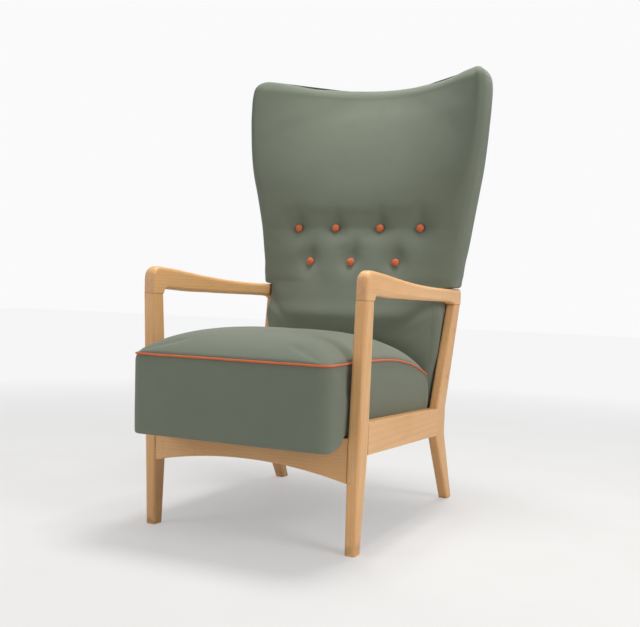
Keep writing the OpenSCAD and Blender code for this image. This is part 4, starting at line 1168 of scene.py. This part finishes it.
def dress_frame():
    joints = (FRONT_JOINT, REAR_JOINT)
    plans = {
        "front_leg_left": ("Z", 1.3, 0.97, joints), "front_leg_right": ("Z", 2.9, 1.0, joints),
        "rear_leg_left": ("Z", 4.1, 0.96, joints), "rear_leg_right": ("Z", 5.7, 0.99, joints),
        "arm_left": ("Y", 6.2, 1.0, joints), "arm_right": ("Y", 7.7, 1.02, joints),
        "front_rail": ("X", 8.4, 0.97, ()), "rear_rail": ("X", 9.9, 0.97, ()),
        "side_rail_left": ("Y", 10.6, 0.98, ()), "side_rail_right": ("Y", 11.3, 1.0, ()),
    }
    for node, (axis, seed, tint, lines) in plans.items():
        dress(node, beech("beech_" + node, axis, seed, tint, lines))
        smooth_node(node, 40)
    inner = beech("beech_inner", "Z", 3.3, 0.86)
    for node in ("corner_blocks", "seat_cleats", "seat_frame_front", "seat_frame_rear", "seat_frame_left",
                 "seat_frame_right", "back_upright_left", "back_upright_right", "wing_frame_left",
                 "wing_frame_right", "back_bottom_rail", "back_middle_rail", "back_top_rail", "arm_dowels",
                 "front_rail_dowels", "rear_rail_dowels", "side_rail_dowels", "post_plugs"):
        dress(node, inner)
        smooth_node(node, 30)
    jute = plain_cloth("jute_cloth", srgb(196, 170, 128), srgb(128, 104, 70), 0.0028)
    for node in ("seat_webbing_lengthwise", "seat_webbing_crosswise", "seat_hessian", "back_webbing",
                 "button_twines"):
        dress(node, jute)
    dress("seat_dust_cover", plain_cloth("dust_cloth", srgb(44, 44, 46), srgb(18, 18, 20), 0.0016))
    metal = steel("screw_steel")
    for node in ("seat_springs", "corner_block_screws", "back_screws"):
        dress(node, metal)
        smooth_node(node, 40)


def dress_soft_pieces():
    green = dict(base=srgb(117, 124, 109), dark=srgb(103, 111, 97), light=srgb(131, 138, 122))
    orange = dict(base=srgb(220, 110, 66), dark=srgb(194, 88, 48), light=srgb(234, 130, 86))
    cover = wool("green_wool", pitch=0.0016, mottle=0.4, **green)
    contrast = wool("orange_wool", pitch=0.0012, mottle=0.2, **orange)
    seat = seat_cushion()
    seat.data.materials.append(cover)
    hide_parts("seat_top_cover", "seat_border_cover", "seat_padding")
    cord = piping()
    cord.data.materials.append(contrast)
    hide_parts("seat_piping")
    back = back_cushion()
    back.data.materials.append(cover)
    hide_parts("back_cover", "back_padding")
    rear = outside_back()
    rear.data.materials.append(cover)
    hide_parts("outside_back_cover")
    buttons = covered_buttons()
    buttons.data.materials.append(contrast)
    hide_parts("buttons")
    for piece in (seat, cord, back, rear, buttons):
        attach(piece, "root")


# Camera, fitted to the photograph: 640 by 627 pixels, its place in metres and its turns in degrees
PHOTO_W = 640.0
FOCAL_PX = 910.3
CENTRE_DX = -0.3
CENTRE_DY = 60.0
SENSOR_W = 36.0
CAMERA_AZ, CAMERA_EL, CAMERA_ROLL = 25.13, 5.20, 1.83
CAMERA_TARGET = (0.0167, -0.0142, 0.3354)
CAMERA_AWAY = 2.1933


def add_camera():
    az, el, roll = (math.radians(v) for v in (CAMERA_AZ, CAMERA_EL, CAMERA_ROLL))
    back = Vector((math.sin(az) * math.cos(el), -math.cos(az) * math.cos(el), math.sin(el)))
    right = (-back).cross(Vector((0, 0, 1))).normalized()
    up = right.cross(-back)
    across_x = math.cos(roll) * right + math.sin(roll) * up
    across_y = -math.sin(roll) * right + math.cos(roll) * up
    data = bpy.data.cameras.new("camera")
    data.sensor_fit = "HORIZONTAL"
    data.sensor_width = SENSOR_W
    data.lens = FOCAL_PX / PHOTO_W * SENSOR_W
    data.shift_x = -CENTRE_DX / PHOTO_W
    data.shift_y = CENTRE_DY / PHOTO_W
    data.clip_end = 60.0
    camera = bpy.data.objects.new("camera", data)
    bpy.context.scene.collection.objects.link(camera)
    turn = Matrix((across_x, across_y, back)).transposed().to_4x4()
    camera.matrix_world = Matrix.Translation(Vector(CAMERA_TARGET) + back * CAMERA_AWAY) @ turn
    bpy.context.scene.camera = camera


def area_light(name, place, target, size, power, colour):
    data = bpy.data.lights.new(name, "AREA")
    data.shape = "DISK"
    data.size = size
    data.energy = power
    data.color = colour
    lamp = bpy.data.objects.new(name, data)
    lamp.location = place
    lamp.rotation_euler = (Vector(target) - Vector(place)).to_track_quat("-Z", "Y").to_euler()
    bpy.context.scene.collection.objects.link(lamp)


# Floor: half its side in metres, and the share of plain white that the camera sees in it
FLOOR_HALF = 12.0
FLOOR_GLOW = 0.36
FLOOR_WHITE = (0.92, 0.92, 0.925, 1)
GLOW_NEAR, GLOW_FAR = 0.9, 3.2


def add_stage():
    corners = [(x * FLOOR_HALF, y * FLOOR_HALF, 0) for x, y in ((-1, -1), (1, -1), (1, 1), (-1, 1))]
    mesh = bpy.data.meshes.new("floor")
    mesh.from_pydata(corners, [], [(0, 1, 2, 3)])
    floor = bpy.data.objects.new("floor", mesh)
    bpy.context.scene.collection.objects.link(floor)
    mesh.materials.append(floor_paint())


def floor_paint():
    """Pale paint that fades to plain white away from the chair, for the camera's eye alone."""
    material, tree, shader = new_material("floor_paint")
    g = Graph(tree)
    place = g.coords("Object")
    smudge = g.span(g.noise(place, 3.0, 3.0), 0.3, 0.7)
    g.link(g.blend(smudge, srgb(229, 228, 226), srgb(234, 234, 233)), shader.inputs["Base Color"])
    preset(shader, {"Roughness": 0.6, "Specular IOR Level": 0.2})
    glow = g.node("ShaderNodeEmission")
    preset(glow, {"Color": FLOOR_WHITE})
    seen = g.node("ShaderNodeLightPath")
    away = g.node("ShaderNodeVectorMath", operation="LENGTH")
    g.link(place, away.inputs[0])
    far = g.span(away.outputs["Value"], GLOW_NEAR, GLOW_FAR, FLOOR_GLOW, 1.0)
    share = g.times(seen.outputs["Is Camera Ray"], far)
    out = next(n for n in tree.nodes if n.type == "OUTPUT_MATERIAL")
    g.link(g.mixed(share, shader.outputs["BSDF"], glow.outputs["Emission"]), out.inputs["Surface"])
    return material


# World: strength of the light from all round, and the white that the camera sees behind the floor
AMBIENT = 0.36
BACKDROP = (0.955, 0.955, 0.965, 1)


def add_world():
    world = bpy.data.worlds.new("world")
    bpy.context.scene.world = world
    world.use_nodes = True
    tree = world.node_tree
    tree.nodes.clear()
    g = Graph(tree)
    ambient = g.node("ShaderNodeBackground")
    preset(ambient, {"Color": (1, 1, 1, 1), "Strength": AMBIENT})
    white = g.node("ShaderNodeBackground")
    preset(white, {"Color": BACKDROP, "Strength": 1.0})
    seen = g.node("ShaderNodeLightPath")
    either = g.math("MAXIMUM", seen.outputs["Is Camera Ray"], seen.outputs["Is Glossy Ray"])
    either = g.math("MAXIMUM", either, seen.outputs["Is Transmission Ray"])
    out = g.node("ShaderNodeOutputWorld")
    g.link(g.mixed(either, ambient.outputs[0], white.outputs[0]), out.inputs["Surface"])


# Lights: place and target in metres, the disk's size in metres, watts and colour
WARM = (1.0, 0.99, 0.97)
COOL = (0.98, 0.99, 1.0)
LIGHTS = {
    "top": ((0.15, 0.4, 2.8), (0, 0, 0.4), 0.9, 46, WARM),
    "right": ((2.7, -0.9, 2.0), (0, 0, 0.5), 1.4, 32, WARM),
    "left": ((-1.5, -1.7, 0.95), (0, 0, 0.5), 0.9, 7, COOL),
}


def add_lights():
    for name, plan in LIGHTS.items():
        area_light(name, *plan)


add_camera()
add_world()
add_lights()
add_stage()
dress_frame()
dress_soft_pieces()
bpy.context.scene.view_settings.view_transform = "Standard"
